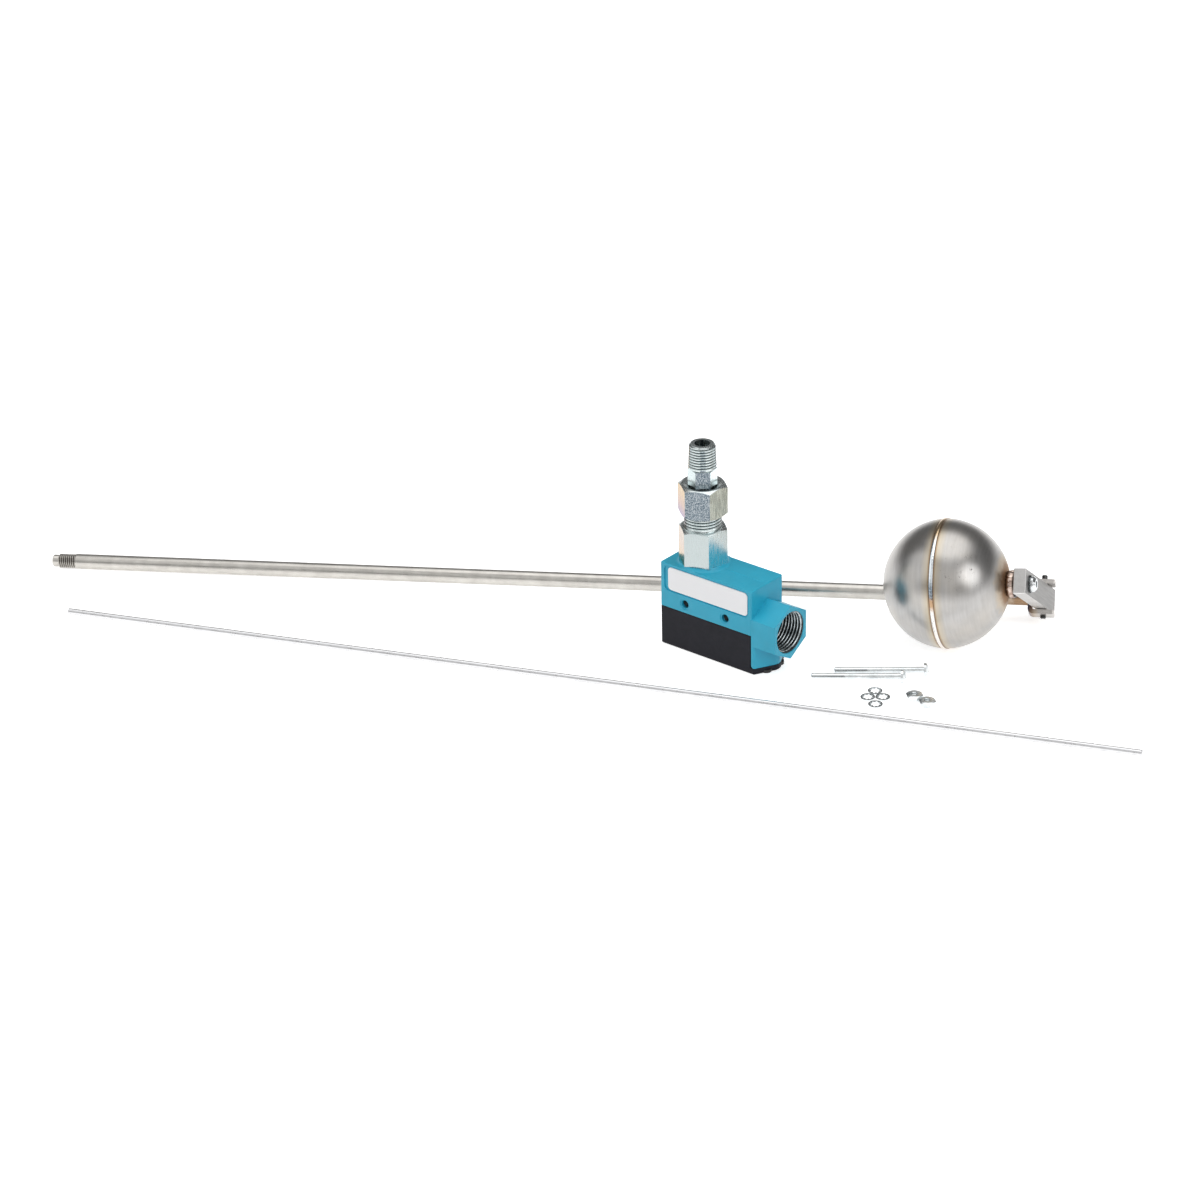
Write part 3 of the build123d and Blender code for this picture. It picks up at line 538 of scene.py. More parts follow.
@dataclass(frozen=True)
class Thread:
    """A cut thread: a helical groove on a shaft or in a bore, which may taper."""

    place: Place
    length: float
    radius: float
    end_radius: float
    pitch: float
    depth: float
    side: Side = Side.SHAFT
    steps: int = 40

    def cutter(self, name: str) -> bpy.types.Object:
        """Builds the solid that cuts the groove.

        Args:
            name: Name of the object.

        Returns:
            A closed mesh that winds along the thread.
        """
        matrix = self.place.matrix()
        outward = 1.0 if self.side is Side.SHAFT else -1.0
        total = int(self.length / self.pitch * self.steps)
        half = self.pitch * 0.37
        margin = self.depth * 0.15
        points = []
        for step in range(total + 1):
            angle = 2 * math.pi * step / self.steps
            height = self.pitch * step / self.steps
            share = height / self.length
            surface = self.radius + (self.end_radius - self.radius) * share
            crest = surface + outward * margin
            root = surface - outward * self.depth
            wide = half * (1 + margin / self.depth)
            for reach, shift in ((crest, -wide), (root, -half * 0.12), (root, half * 0.12), (crest, wide)):
                spot = Vector((reach * math.cos(angle), reach * math.sin(angle), height + shift))
                points.append(matrix @ spot)
        return mesh_object(name, points, wound_faces(total), smooth=False)

    def groove(self, graph: Graph) -> Socket:
        """Mask of the bottom of the grooves, where the finishes lay painted shade.

        Args:
            graph: Graph of the threaded piece's finish.

        Returns:
            The mask's socket.
        """
        height = graph.along(self.place)
        taper = (self.radius - self.end_radius) / self.length
        reach = graph.math("ADD", graph.radius(self.place), graph.math("MULTIPLY", height, taper))
        depth = graph.math("SUBTRACT", self.radius, reach)
        low = graph.spread(depth, self.depth * 0.4, self.depth * 0.85, 0.0, 0.93)
        solid = graph.spread(depth, self.depth * 1.1, self.depth * 1.3, 1.0, 0.0)
        begun = graph.spread(height, -0.5 * MM, -0.3 * MM)
        going = graph.spread(height, self.length - 0.5 * MM, self.length - 0.2 * MM, 1.0, 0.0)
        within = graph.math("MULTIPLY", solid, graph.math("MULTIPLY", begun, going))
        return graph.math("MULTIPLY", low, within)


@dataclass
class Dresser:
    """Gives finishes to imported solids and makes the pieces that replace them."""

    frame: dict

    def node(self, name: str) -> bpy.types.Object:
        """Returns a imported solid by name."""
        return self.frame["nodes"][name]

    def dress(self, name: str, material: bpy.types.Material) -> None:
        """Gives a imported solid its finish.

        Args:
            name: Name of the node.
            material: Finish.
        """
        mesh = self.node(name).data
        if not mesh.materials:
            mesh.materials.append(material)
        for index in range(len(mesh.materials)):
            mesh.materials[index] = material
        log.info("dressed %s", name)

    def cut(self, node: str, name: str, threads: list[Thread], material: bpy.types.Material,
            body: str, slot: str) -> bpy.types.Object:
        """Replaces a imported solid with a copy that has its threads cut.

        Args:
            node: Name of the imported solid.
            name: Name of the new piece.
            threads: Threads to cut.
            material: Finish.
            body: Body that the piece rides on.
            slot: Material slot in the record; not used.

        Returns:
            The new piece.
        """
        mesh = self.node(node).data.copy()
        normals = mesh.attributes.get("custom_normal")
        if normals:
            mesh.attributes.remove(normals)
        clean(mesh, 1e-6)
        piece = bpy.data.objects.new(name, mesh)
        bpy.context.scene.collection.objects.link(piece)
        for number, thread in enumerate(threads):
            tool = thread.cutter(f"{name}_tool_{number}")
            modifier = piece.modifiers.new("groove", "BOOLEAN")
            modifier.operation = "DIFFERENCE"
            modifier.solver = "EXACT"
            modifier.object = tool
            graph = bpy.context.evaluated_depsgraph_get()
            result = bpy.data.meshes.new_from_object(piece.evaluated_get(graph))
            piece.modifiers.clear()
            piece.data = result
            bpy.data.objects.remove(tool)
        finish_mesh(piece, material)
        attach(piece, body)
        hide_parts(node)
        log.info("cut %d threads in %s", len(threads), name)
        return piece

    def place(self, piece: bpy.types.Object, material: bpy.types.Material, body: str, slot: str,
              *nodes: str) -> bpy.types.Object:
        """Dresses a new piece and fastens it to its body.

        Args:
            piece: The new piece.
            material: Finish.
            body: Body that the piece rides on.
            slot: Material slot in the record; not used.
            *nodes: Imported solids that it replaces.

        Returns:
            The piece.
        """
        piece.data.materials.clear()
        piece.data.materials.append(material)
        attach(piece, body)
        if nodes:
            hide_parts(*nodes)
        log.info("placed %s", piece.name)
        return piece


def finish_mesh(piece: bpy.types.Object, material: bpy.types.Material, angle: float = 32.0) -> None:
    """Sets one material and smooth shading that keeps sharp edges.

    Args:
        piece: Object to finish.
        material: Its material.
        angle: Edges that turn more than this, in degrees, stay sharp.
    """
    mesh = piece.data
    mesh.materials.clear()
    mesh.materials.append(material)
    mesh.polygons.foreach_set("use_smooth", [True] * len(mesh.polygons))
    mesh.set_sharp_from_angle(angle=math.radians(angle))
    mesh.update()


@dataclass
class Enclosure:
    """Blue housing with its black cover, plate and the works inside."""

    dresser: Dresser
    conduit_face: float = 54.8 * MM
    conduit_height: float = 23.14 * MM
    conduit_radius: float = 10.65 * MM
    conduit_pitch: float = 1.814 * MM
    conduit_turns: int = 7
    conduit_lead: float = 1.0 * MM
    ridge_height: float = 0.85 * MM
    mould_line: tuple[float, float] = (13.3 * MM, 37.2 * MM)
    roof: float = 45.9 * MM

    def materials(self) -> dict[str, bpy.types.Material]:
        """Returns the finishes of the enclosure by name."""
        return {
            "paint": self.enamel(),
            "cover": Moulding("black_cover", (0.014, 0.014, 0.019), 0.5, specular=0.14).build(),
            "plate": Moulding("plate_white", (0.95, 0.95, 0.965), 0.35, 1.2 * MM, 0.003 * MM, 1.0).build(),
            "bare": Metal("bare_conduit", (0.22, 0.26, 0.28), (0.7, 0.76, 0.78), 0.25, 1.5 * MM, 4.0,
                          Stretch.NONE).build(),
            "rubber": Moulding("black_rubber", (0.012, 0.012, 0.012), 0.7).build(),
            "case": Moulding("phenolic", (0.012, 0.01, 0.009), 0.45).build(),
            "button": Moulding("red_button", (0.5, 0.02, 0.02), 0.25).build(),
            "brass": Metal("brass", (0.5, 0.33, 0.1), (0.72, 0.5, 0.2), 0.3).build(),
            "zinc": Metal("inner_zinc", (0.5, 0.52, 0.52), (0.72, 0.74, 0.74), 0.3).build(),
        }

    def enamel(self) -> bpy.types.Material:
        """Returns the blue enamel, with the conduit bore painted near-black: bare metal inside the mouth, darkened
        with painted shade.
        """
        graph, colour = Paint("blue_enamel", (0.022, 0.4, 0.58)).start()
        mouth = Place.make(Vector((0, 0, self.conduit_height)), Vector((1, 0, 0)), Vector((0, 0, 1)))
        # painted shade: the conduit bore inside the mouth turns near-black, bare metal darkened as if in shade
        beyond = graph.spread(graph.along(mouth), 36 * MM, 37 * MM, 30 * MM, 0.0)
        reach = graph.math("ADD", graph.radius(mouth), beyond)
        inside = graph.spread(reach, self.conduit_radius + 0.2 * MM, self.conduit_radius + 0.35 * MM, 1.0, 0.0)
        graph.link(graph.blend(inside, colour, (0.035, 0.045, 0.05)), "Base Color")
        return graph.material

    def conduit_thread(self, metal: bpy.types.Material) -> None:
        """Adds the thread's ridge in the conduit mouth.

        Args:
            metal: Finish of the ridge.
        """
        place = Place.make(Vector((self.conduit_face, 0, self.conduit_height)), Vector((-1, 0, 0)), Vector((0, 0, 1)))
        matrix = place.matrix()
        steps = 64
        run_out = 12
        points = []
        total = self.conduit_turns * steps
        half = self.conduit_pitch * 0.36
        for step in range(total + 1):
            angle = 2 * math.pi * step / steps
            height = self.conduit_lead + self.conduit_pitch * step / steps
            fade = min(1.0, step / run_out, (total - step) / run_out)
            tip = self.conduit_radius - self.ridge_height * fade
            foot = self.conduit_radius + 0.05 * MM
            for reach, shift in ((foot, -half), (tip, -half * 0.15), (tip, half * 0.15), (foot, half)):
                points.append(matrix @ Vector((reach * math.cos(angle), reach * math.sin(angle), height + shift)))
        self.dresser.place(mesh_object("conduit_thread", points, wound_faces(total)), metal, "root", "blue_paint")

    def mould_ridge(self, paint: bpy.types.Material) -> None:
        """Adds the mould line on the roof.

        Args:
            paint: Finish of the housing.
        """
        left, right = self.mould_line
        width = 0.28 * MM
        sunk = 0.05 * MM
        top = 0.12 * MM + sunk
        base = self.roof - sunk
        section = [(-width, 0.0), (-width * 0.4, top), (width * 0.4, top), (width, 0.0)]
        points = []
        for x in (left, right):
            points += [Vector((x, y, base + z)) for y, z in section]
        faces = [(0, 1, 5, 4), (1, 2, 6, 5), (2, 3, 7, 6), (3, 0, 4, 7), (3, 2, 1, 0), (4, 5, 6, 7)]
        self.dresser.place(mesh_object("mould_line", points, faces, smooth=False), paint, "root", "blue_paint")

    def build(self) -> None:
        """Dresses the enclosure and adds its small forms."""
        finish = self.materials()
        for node, key in (("switch_housing", "paint"), ("switch_cover", "cover"), ("cover_gasket", "rubber"),
                          ("cover_screws", "case"), ("nameplate", "plate"), ("mounting_sleeves", "zinc"),
                          ("basic_switch", "case"), ("switch_button", "button"), ("terminal_plates", "brass"),
                          ("terminal_screws", "brass"), ("plunger_seal", "rubber"), ("plunger_bushing", "brass"),
                          ("union_gasket", "brass"), ("plunger", "zinc")):
            self.dresser.dress(node, finish[key])
        self.conduit_thread(finish["bare"])
        self.mould_ridge(finish["paint"])


@dataclass
class Fitting:
    """Zinc-plated union: lower body, nut and adapter with its pipe thread."""

    dresser: Dresser
    thread_bottom: float = 66.3 * MM
    thread_length: float = 7.4 * MM
    thread_radius: float = 9.53 * MM
    thread_pitch: float = 1.5875 * MM
    pipe_bottom: float = 97.75 * MM
    pipe_length: float = 13.35 * MM
    pipe_radius: float = 7.1 * MM
    pipe_top_radius: float = 6.68 * MM
    pipe_pitch: float = 1.411 * MM
    tinted_heading: float = 233.0
    tint_bottom: float = 48 * MM
    tint_top: float = 90 * MM

    def zinc(self, name: str, faces: dict[float, Colour], speckled_shade: float | None,
             thread: Thread | None) -> bpy.types.Material:
        """Returns bright zinc plate with its faint yellow and violet passivation, and painted light and shade on
        single flats.

        Args:
            name: Name of the material.
            faces: Painted light and shade: a lighter or darker tone laid on single flats, by their heading in degrees.
            speckled_shade: Heading in degrees of the one face with painted shade, dark grey with fine flecks, if any.
            thread: Thread whose grooves are darkened with painted shade, if the piece has one.

        Returns:
            The material.
        """
        graph, colour = Metal(name, (0.56, 0.61, 0.61), (0.7, 0.75, 0.75), 0.24, 0.5 * MM, 14.0, Stretch.ALONG,
                              0.001 * MM, UPRIGHT).start()
        tint = graph.ramp(graph.spread(graph.along(UPRIGHT), self.tint_bottom, self.tint_top), [
            (0.0, (0.52, 0.37, 0.2)), (0.25, (0.49, 0.38, 0.31)), (0.45, (0.51, 0.45, 0.38)),
            (0.6, (0.31, 0.25, 0.39)), (0.75, (0.45, 0.31, 0.26)), (0.92, (0.53, 0.39, 0.23)),
        ])
        colour = graph.blend(graph.facing(self.tinted_heading), colour, tint)
        # painted light and shade: each listed flat gets a lighter or darker tone of its own
        for heading, tone in faces.items():
            colour = graph.blend(graph.math("MULTIPLY", graph.facing(heading), 0.85), colour, tone)
        if speckled_shade is not None:
            # painted shade: the one flat at this heading gets dark grey with fine flecks
            fine = graph.noise(0.5 * MM, 2)
            grey = graph.ramp(fine, [(0.36, (0.07, 0.1, 0.13)), (0.5, (0.19, 0.23, 0.26)), (0.62, (0.4, 0.43, 0.45))])
            colour = graph.blend(graph.facing(speckled_shade), colour, grey)
        if thread is not None:
            # painted shade: the thread's groove roots turn near-black
            colour = graph.blend(thread.groove(graph), colour, (0.012, 0.04, 0.045))
        graph.link(colour, "Base Color")
        return graph.material

    def build(self) -> None:
        """Cuts the threads and dresses the three steel pieces."""
        union = Thread(UPRIGHT.shifted(self.thread_bottom + 0.5 * MM), self.thread_length, self.thread_radius,
                       self.thread_radius, self.thread_pitch, 0.8 * MM)
        # painted light on the flat at 351 degrees, painted shade on the flat at 291 degrees
        body = self.zinc("zinc_body", {351.0: (0.85, 0.93, 0.93), 291.0: (0.42, 0.47, 0.47)}, None, union)
        self.dresser.cut("fitting_body", "fitting_body_cut", [union], body, "root", "zinc_steel")
        lead = 0.9 * MM
        pipe = Thread(UPRIGHT.shifted(self.pipe_bottom + lead), self.pipe_length - lead, self.pipe_radius,
                      self.pipe_top_radius, self.pipe_pitch, 0.85 * MM)
        # painted light and shade on the flats at 250 and 10 degrees, and flecked painted shade on the flat at 310
        # degrees
        adapter = self.zinc("zinc_adapter", {250.0: (0.66, 0.75, 0.76), 10.0: (0.74, 0.84, 0.86)}, 310.0, pipe)
        self.dresser.cut("tube_adapter", "tube_adapter_cut", [pipe], adapter, "root", "zinc_steel")
        # painted light on the flat at 354.3 degrees, and flecked painted shade on the flat at 294.3 degrees
        self.dresser.dress("union_nut", self.zinc("zinc_nut", {354.3: (0.95, 0.98, 0.85)}, 294.3, None))


@dataclass
class TubeAndFork:
    """Stainless guide tube with its cut thread, fork and pin."""

    dresser: Dresser
    tube: Place
    pin: Place
    thread_start: float = 4.1 * MM
    thread_length: float = 8.9 * MM
    thread_radius: float = 3.85 * MM
    thread_pitch: float = 1.058 * MM
    pin_distance: float = 519.87 * MM

    def build(self) -> None:
        """Cuts the tube's thread and dresses the tube, the fork and the pin."""
        metal = Metal("tube_steel", (0.47, 0.45, 0.42), (0.64, 0.62, 0.58), 0.3, 0.22 * MM, 60.0,
                      Stretch.ALONG, 0.004 * MM, self.tube)
        graph, colour = metal.start()
        distance = graph.math("SUBTRACT", self.pin_distance - 7.6 * MM, graph.along(self.tube))
        colour = HeatTint().over(graph, colour, distance, 24 * MM, False)
        thread = Thread(self.tube.shifted(self.thread_start), self.thread_length, self.thread_radius,
                        self.thread_radius, self.thread_pitch, 0.6 * MM)
        # painted shade: the tube's thread grooves turn near-black
        graph.link(graph.blend(thread.groove(graph), colour, (0.04, 0.03, 0.02)), "Base Color")
        self.dresser.cut("guide_tube", "guide_tube_cut", [thread], graph.material, "root", "stainless")
        fork = Metal("fork_steel", (0.42, 0.4, 0.38), (0.66, 0.63, 0.6), 0.33, 0.3 * MM, 20.0,
                     Stretch.ALONG, 0.004 * MM, self.tube)
        graph, colour = fork.start()
        distance = graph.math("ABSOLUTE", graph.math(
            "ADD", graph.along(self.tube), 7.6 * MM - self.pin_distance))
        graph.link(HeatTint().over(graph, colour, distance, 6 * MM, True), "Base Color")
        self.dresser.dress("fork_bracket", graph.material)
        # painted reflection: the steel pin gets a near-black base colour in place of the dark surroundings it reflects
        self.dresser.dress("pivot_pin", Metal("pin_painted_dark", (0.03, 0.03, 0.03), (0.1, 0.1, 0.1), 0.12, 0.3 * MM,
                                              20.0, Stretch.ALONG, 0.002 * MM, self.pin).build())


@dataclass
class Float:
    """Hollow ball on its lever block, with the weld beads."""

    dresser: Dresser
    hub: Place
    radius: float = 32.7 * MM
    polar: float = 31.8 * MM
    seam_width: float = 2.3 * MM
    seam_rise: float = 0.35 * MM
    spud_radius: float = 6.1 * MM
    block_gap: float = 4.55 * MM
    scratched: Vector = field(default_factory=lambda: Vector((0.62, -0.45, 0.64)))

    def ball_steel(self) -> bpy.types.Material:
        """Returns brushed stainless with heat tint along the seam and round the spud."""
        seam = self.hub
        graph, colour = Metal("ball_steel", (0.4, 0.39, 0.38), (0.47, 0.46, 0.45), 0.3, 0.9 * MM, 14.0,
                              Stretch.AROUND, 0.002 * MM, seam).start()
        cloud = graph.spread(graph.noise(16 * MM, 4, seam), 0.4, 0.7, 0.0, 0.3)
        colour = graph.blend(cloud, colour, (0.54, 0.49, 0.42))
        distance = graph.math("SUBTRACT", graph.math("ABSOLUTE", graph.along(seam)), 1.1 * MM)
        colour = graph.blend(graph.spread(distance, 0.2 * MM, 4.5 * MM, 0.55, 0.0), colour, (0.62, 0.5, 0.3))
        colour = graph.blend(graph.spread(distance, 0.0, 1.1 * MM, 0.85, 0.0), colour, (0.22, 0.11, 0.04))
        beyond = graph.spread(graph.along(seam), 0.0, 4 * MM, 60 * MM, 0.0)
        halo = graph.math("ADD", graph.math("SUBTRACT", graph.radius(seam), self.spud_radius), beyond)
        colour = HeatTint().over(graph, colour, halo, 10 * MM, False)
        colour = graph.blend(self.scratches(graph), colour, (0.06, 0.055, 0.05))
        graph.link(graph.spread(halo, 1.0 * MM, 12 * MM, 0.62, 0.3), "Roughness")
        graph.link(colour, "Base Color")
        return graph.material

    def scratches(self, graph: Graph) -> Socket:
        """Mask of the small dark pits and scratches on the outer half.

        Args:
            graph: Graph of the ball's metal.

        Returns:
            The mask's socket.
        """
        spot = Place(self.hub.origin + self.scratched * self.radius, self.hub.axis, self.hub.across)
        near = graph.spread(graph.distance(spot.origin), 7 * MM, 14 * MM)
        fine = graph.noise(0.9 * MM, 4, spot, Stretch.ALONG, 0.4)
        broad = graph.noise(4.5 * MM, 2)
        pits = graph.spread(graph.math("ADD", fine, graph.math("MULTIPLY", broad, 0.6)), 0.99, 1.04)
        return graph.math("MULTIPLY", pits, graph.math("SUBTRACT", 1.0, near))

    def seam_bead(self) -> None:
        """Replaces the seam's weld with a rippled bead."""
        graph, colour = Metal("bead_steel", (0.7, 0.68, 0.64), (0.9, 0.9, 0.88), 0.16, 0.8 * MM, 3.0,
                              Stretch.NONE, 0.002 * MM).start()
        height = graph.math("ADD", graph.along(UPRIGHT), graph.math("MULTIPLY", graph.noise(5 * MM, 3), 2 * MM))
        patches = graph.ramp(graph.spread(height, 0.0, 66 * MM), [
            (0.0, (0.5, 0.36, 0.28)), (0.1, (0.85, 0.78, 0.72)), (0.5, (0.9, 0.88, 0.86)), (0.56, (0.4, 0.2, 0.05)),
            (0.6, (0.36, 0.17, 0.04)), (0.63, (0.1, 0.13, 0.17)), (0.69, (0.3, 0.4, 0.5)), (0.76, (0.8, 0.87, 0.92)),
            (0.95, (0.8, 0.86, 0.9)), (0.99, (0.55, 0.36, 0.16)),
        ])
        colour = graph.blend(0.8, colour, patches)
        edge = graph.spread(graph.math("ABSOLUTE", graph.along(self.hub)), 0.6 * MM, 1.1 * MM, 0.0, 0.85)
        graph.link(graph.blend(edge, colour, (0.12, 0.07, 0.04)), "Base Color")
        half = self.seam_width / 2
        profile = []
        for step in range(9):
            share = step / 4 - 1
            across = share * half
            rise = self.seam_rise * (1 - share ** 2)
            profile.append((self.radius * math.sqrt(1 - (across / self.polar) ** 2) + rise, across))
        root = self.radius - 0.8 * MM
        profile += [(root, half * 0.4), (root, -half * 0.4)]
        bead = lathe("seam_bead", self.hub, profile, 720, Ripple(120, 0.05 * MM))
        self.dresser.place(bead, graph.material, "float", "weld_bead", "seam_weld")

    def block_steel(self) -> bpy.types.Material:
        """Returns milled stainless with painted shade on the block's broad faces and painted light on its end faces.
        """
        place = Place.make(self.hub.origin, self.hub.across, self.hub.axis)
        graph, colour = Metal("block_steel", (0.52, 0.51, 0.5), (0.64, 0.63, 0.62), 0.4, 0.5 * MM, 30.0,
                              Stretch.ALONG, 0.002 * MM, place).start()
        # painted shade: the broad faces, those facing the hub's axis, are darkened towards dark grey
        heading = math.degrees(math.atan2(self.hub.axis.y, self.hub.axis.x))
        broad_face_shade = graph.math("MULTIPLY", graph.facing(heading), 0.9)
        colour = graph.blend(broad_face_shade, colour, (0.19, 0.185, 0.18))
        # painted light: the end faces are made near white
        end_heading = math.degrees(math.atan2(self.hub.across.y, self.hub.across.x))
        bright = graph.math("MULTIPLY", graph.facing(end_heading), 0.9)
        graph.link(graph.blend(bright, colour, (0.98, 0.98, 0.97)), "Base Color")
        return graph.material

    def spud_bead(self) -> None:
        """Dresses the spud, with painted shadow at its block end, and replaces its weld with a broad rippled bead."""
        graph, colour = Metal("weld_bronze", (0.3, 0.2, 0.16), (0.8, 0.66, 0.58), 0.24, 3.0 * MM, 3.0,
                              Stretch.NONE, 0.004 * MM).start()
        outward = graph.along(self.hub)
        foot = graph.spread(outward, self.polar - 0.2 * MM, self.polar + 1.4 * MM, 0.9, 0.0)
        colour = graph.blend(foot, colour, (0.06, 0.03, 0.015))
        # painted shadow: the spud turns near-black towards the block, where the gap to the block lies in shade
        gap_shadow = graph.spread(outward, self.polar + 2.6 * MM, self.polar + 3.4 * MM, 0.0, 0.97)
        graph.link(graph.blend(gap_shadow, colour, (0.015, 0.012, 0.012)), "Base Color")
        self.dresser.dress("float_spud", graph.material)
        profile = []
        for step in range(13):
            share = step / 12
            profile.append((self.spud_radius + 0.9 * MM * math.sin(math.pi * share) ** 0.8 - 0.1 * MM,
                            self.polar - 0.75 * MM + share * (self.block_gap + 0.6 * MM)))
        profile.append((self.spud_radius - 1.0 * MM, self.polar + 2.0 * MM))
        bead = lathe("spud_bead", self.hub, profile, 360, Ripple(17, 0.3 * MM))
        self.dresser.place(bead, graph.material, "float", "weld_bead", "spud_weld")

    def build(self) -> None:
        """Dresses the float and its lever."""
        steel = self.ball_steel()
        self.dresser.dress("float_half_outer", steel)
        self.dresser.dress("float_half_inner", steel)
        self.dresser.dress("lever_block", self.block_steel())
        bright = Metal("screw_zinc", (0.6, 0.62, 0.63), (0.85, 0.87, 0.88), 0.2, 0.3 * MM, 4.0,
                       Stretch.NONE, 0.003 * MM).build()
        self.dresser.dress("float_screw", bright)
        # painted shade: the lock washer is near-black so that a dark ring shows round the screw head
        self.dresser.dress("float_lock_washer", Metal("washer_painted_shade", (0.05, 0.055, 0.06), (0.3, 0.32, 0.33), 0.25,
                                                      0.6 * MM, 4.0, Stretch.NONE, 0.003 * MM).build())
        self.spud_bead()
        self.seam_bead()


@dataclass
class Hardware:
    """Push rod and mounting hardware lying on the floor."""

    dresser: Dresser
    screw_places: tuple[tuple[float, float], ...] = ((66.74, 1.23), (72.12, 13.18))
    screw_headings: tuple[float, ...] = (33.49, 34.44)
    screw_height: float = 3.43 * MM
    screw_radius: float = 1.75 * MM
    screw_thread: float = 17.0 * MM
    nut_places: tuple[tuple[float, float], ...] = ((118.76, 16.14), (127.55, 14.68))
    nut_height: float = 2.8 * MM
    nut_radius: float = 1.6 * MM
    pitch: float = 0.794 * MM

    def screw_threads(self) -> list[Thread]:
        """Returns the threads of the two screws."""
        threads = []
        for (x, y), heading in zip(self.screw_places, self.screw_headings):
            turn = math.radians(heading)
            start = Vector((x * MM, y * MM, self.screw_height))
            place = Place.make(start, Vector((math.cos(turn), math.sin(turn), 0)), Vector((0, 0, 1)))
            threads.append(Thread(place.shifted(self.pitch * 0.5), self.screw_thread - self.pitch, self.screw_radius,
                                  self.screw_radius, self.pitch, 0.42 * MM, Side.SHAFT, 20))
        return threads

    def nut_threads(self) -> list[Thread]:
        """Returns the threads in the bores of the two nuts."""
        return [Thread(Place(Vector((x * MM, y * MM, 0.0)), UPRIGHT.axis, UPRIGHT.across), self.nut_height,
                       self.nut_radius, self.nut_radius, self.pitch, 0.4 * MM, Side.BORE, 20)
                for x, y in self.nut_places]

    def build(self) -> None:
        """Cuts the threads and dresses the loose pieces."""
        rod = Metal("rod_steel", (0.66, 0.66, 0.67), (0.74, 0.74, 0.75), 0.3, 3.0 * MM, 10.0).build()
        self.dresser.dress("push_rod", rod)
        zinc = Metal("hardware_zinc", (0.6, 0.63, 0.64), (0.8, 0.83, 0.84), 0.2, 0.8 * MM, 6.0,
                     Stretch.NONE, 0.002 * MM).build()
        self.dresser.dress("lock_washers", zinc)
        self.dresser.cut("mounting_nuts", "mounting_nuts_cut", self.nut_threads(), zinc, "root", "zinc_steel")
        graph, colour = Metal("screw_plate", (0.6, 0.63, 0.64), (0.8, 0.83, 0.84), 0.2, 0.8 * MM, 6.0,
                              Stretch.NONE, 0.002 * MM).start()
        threads = self.screw_threads()
        # painted shade: the screws' thread grooves are darkened to mid grey
        for thread in threads:
            colour = graph.blend(thread.groove(graph), colour, (0.38, 0.42, 0.43))
        graph.link(colour, "Base Color")
        self.dresser.cut("mounting_screws", "mounting_screws_cut", threads, graph.material, "root", "zinc_steel")


def add_up(tree: bpy.types.NodeTree, first: Socket, second: Socket) -> Socket:
    """Adds two brightnesses."""
    node = tree.nodes.new("ShaderNodeMath")
    tree.links.new(first, node.inputs[0])
    tree.links.new(second, node.inputs[1])
    return node.outputs[0]


@dataclass(frozen=True)
class SoftBox:
    """A round soft light in some direction of the studio."""

    towards: tuple[float, float, float]
    core: float
    edge: float
    level: float

    def glow(self, tree: bpy.types.NodeTree, direction: Socket) -> Socket:
        """Adds the box's brightness.

        Args:
            tree: Node tree of the world.
            direction: Direction that is looked in.

        Returns:
            Its brightness in that direction.
        """
        dot = tree.nodes.new("ShaderNodeVectorMath")
        dot.operation = "DOT_PRODUCT"
        tree.links.new(direction, dot.inputs[0])
        dot.inputs[1].default_value = Vector(self.towards).normalized()
        fade = tree.nodes.new("ShaderNodeMapRange")
        fade.interpolation_type = "SMOOTHSTEP"
        fade.inputs["From Min"].default_value = math.cos(math.radians(self.edge))
        fade.inputs["From Max"].default_value = math.cos(math.radians(self.core))
        fade.inputs["To Max"].default_value = self.level
        tree.links.new(dot.outputs["Value"], fade.inputs["Value"])
        return fade.outputs["Result"]


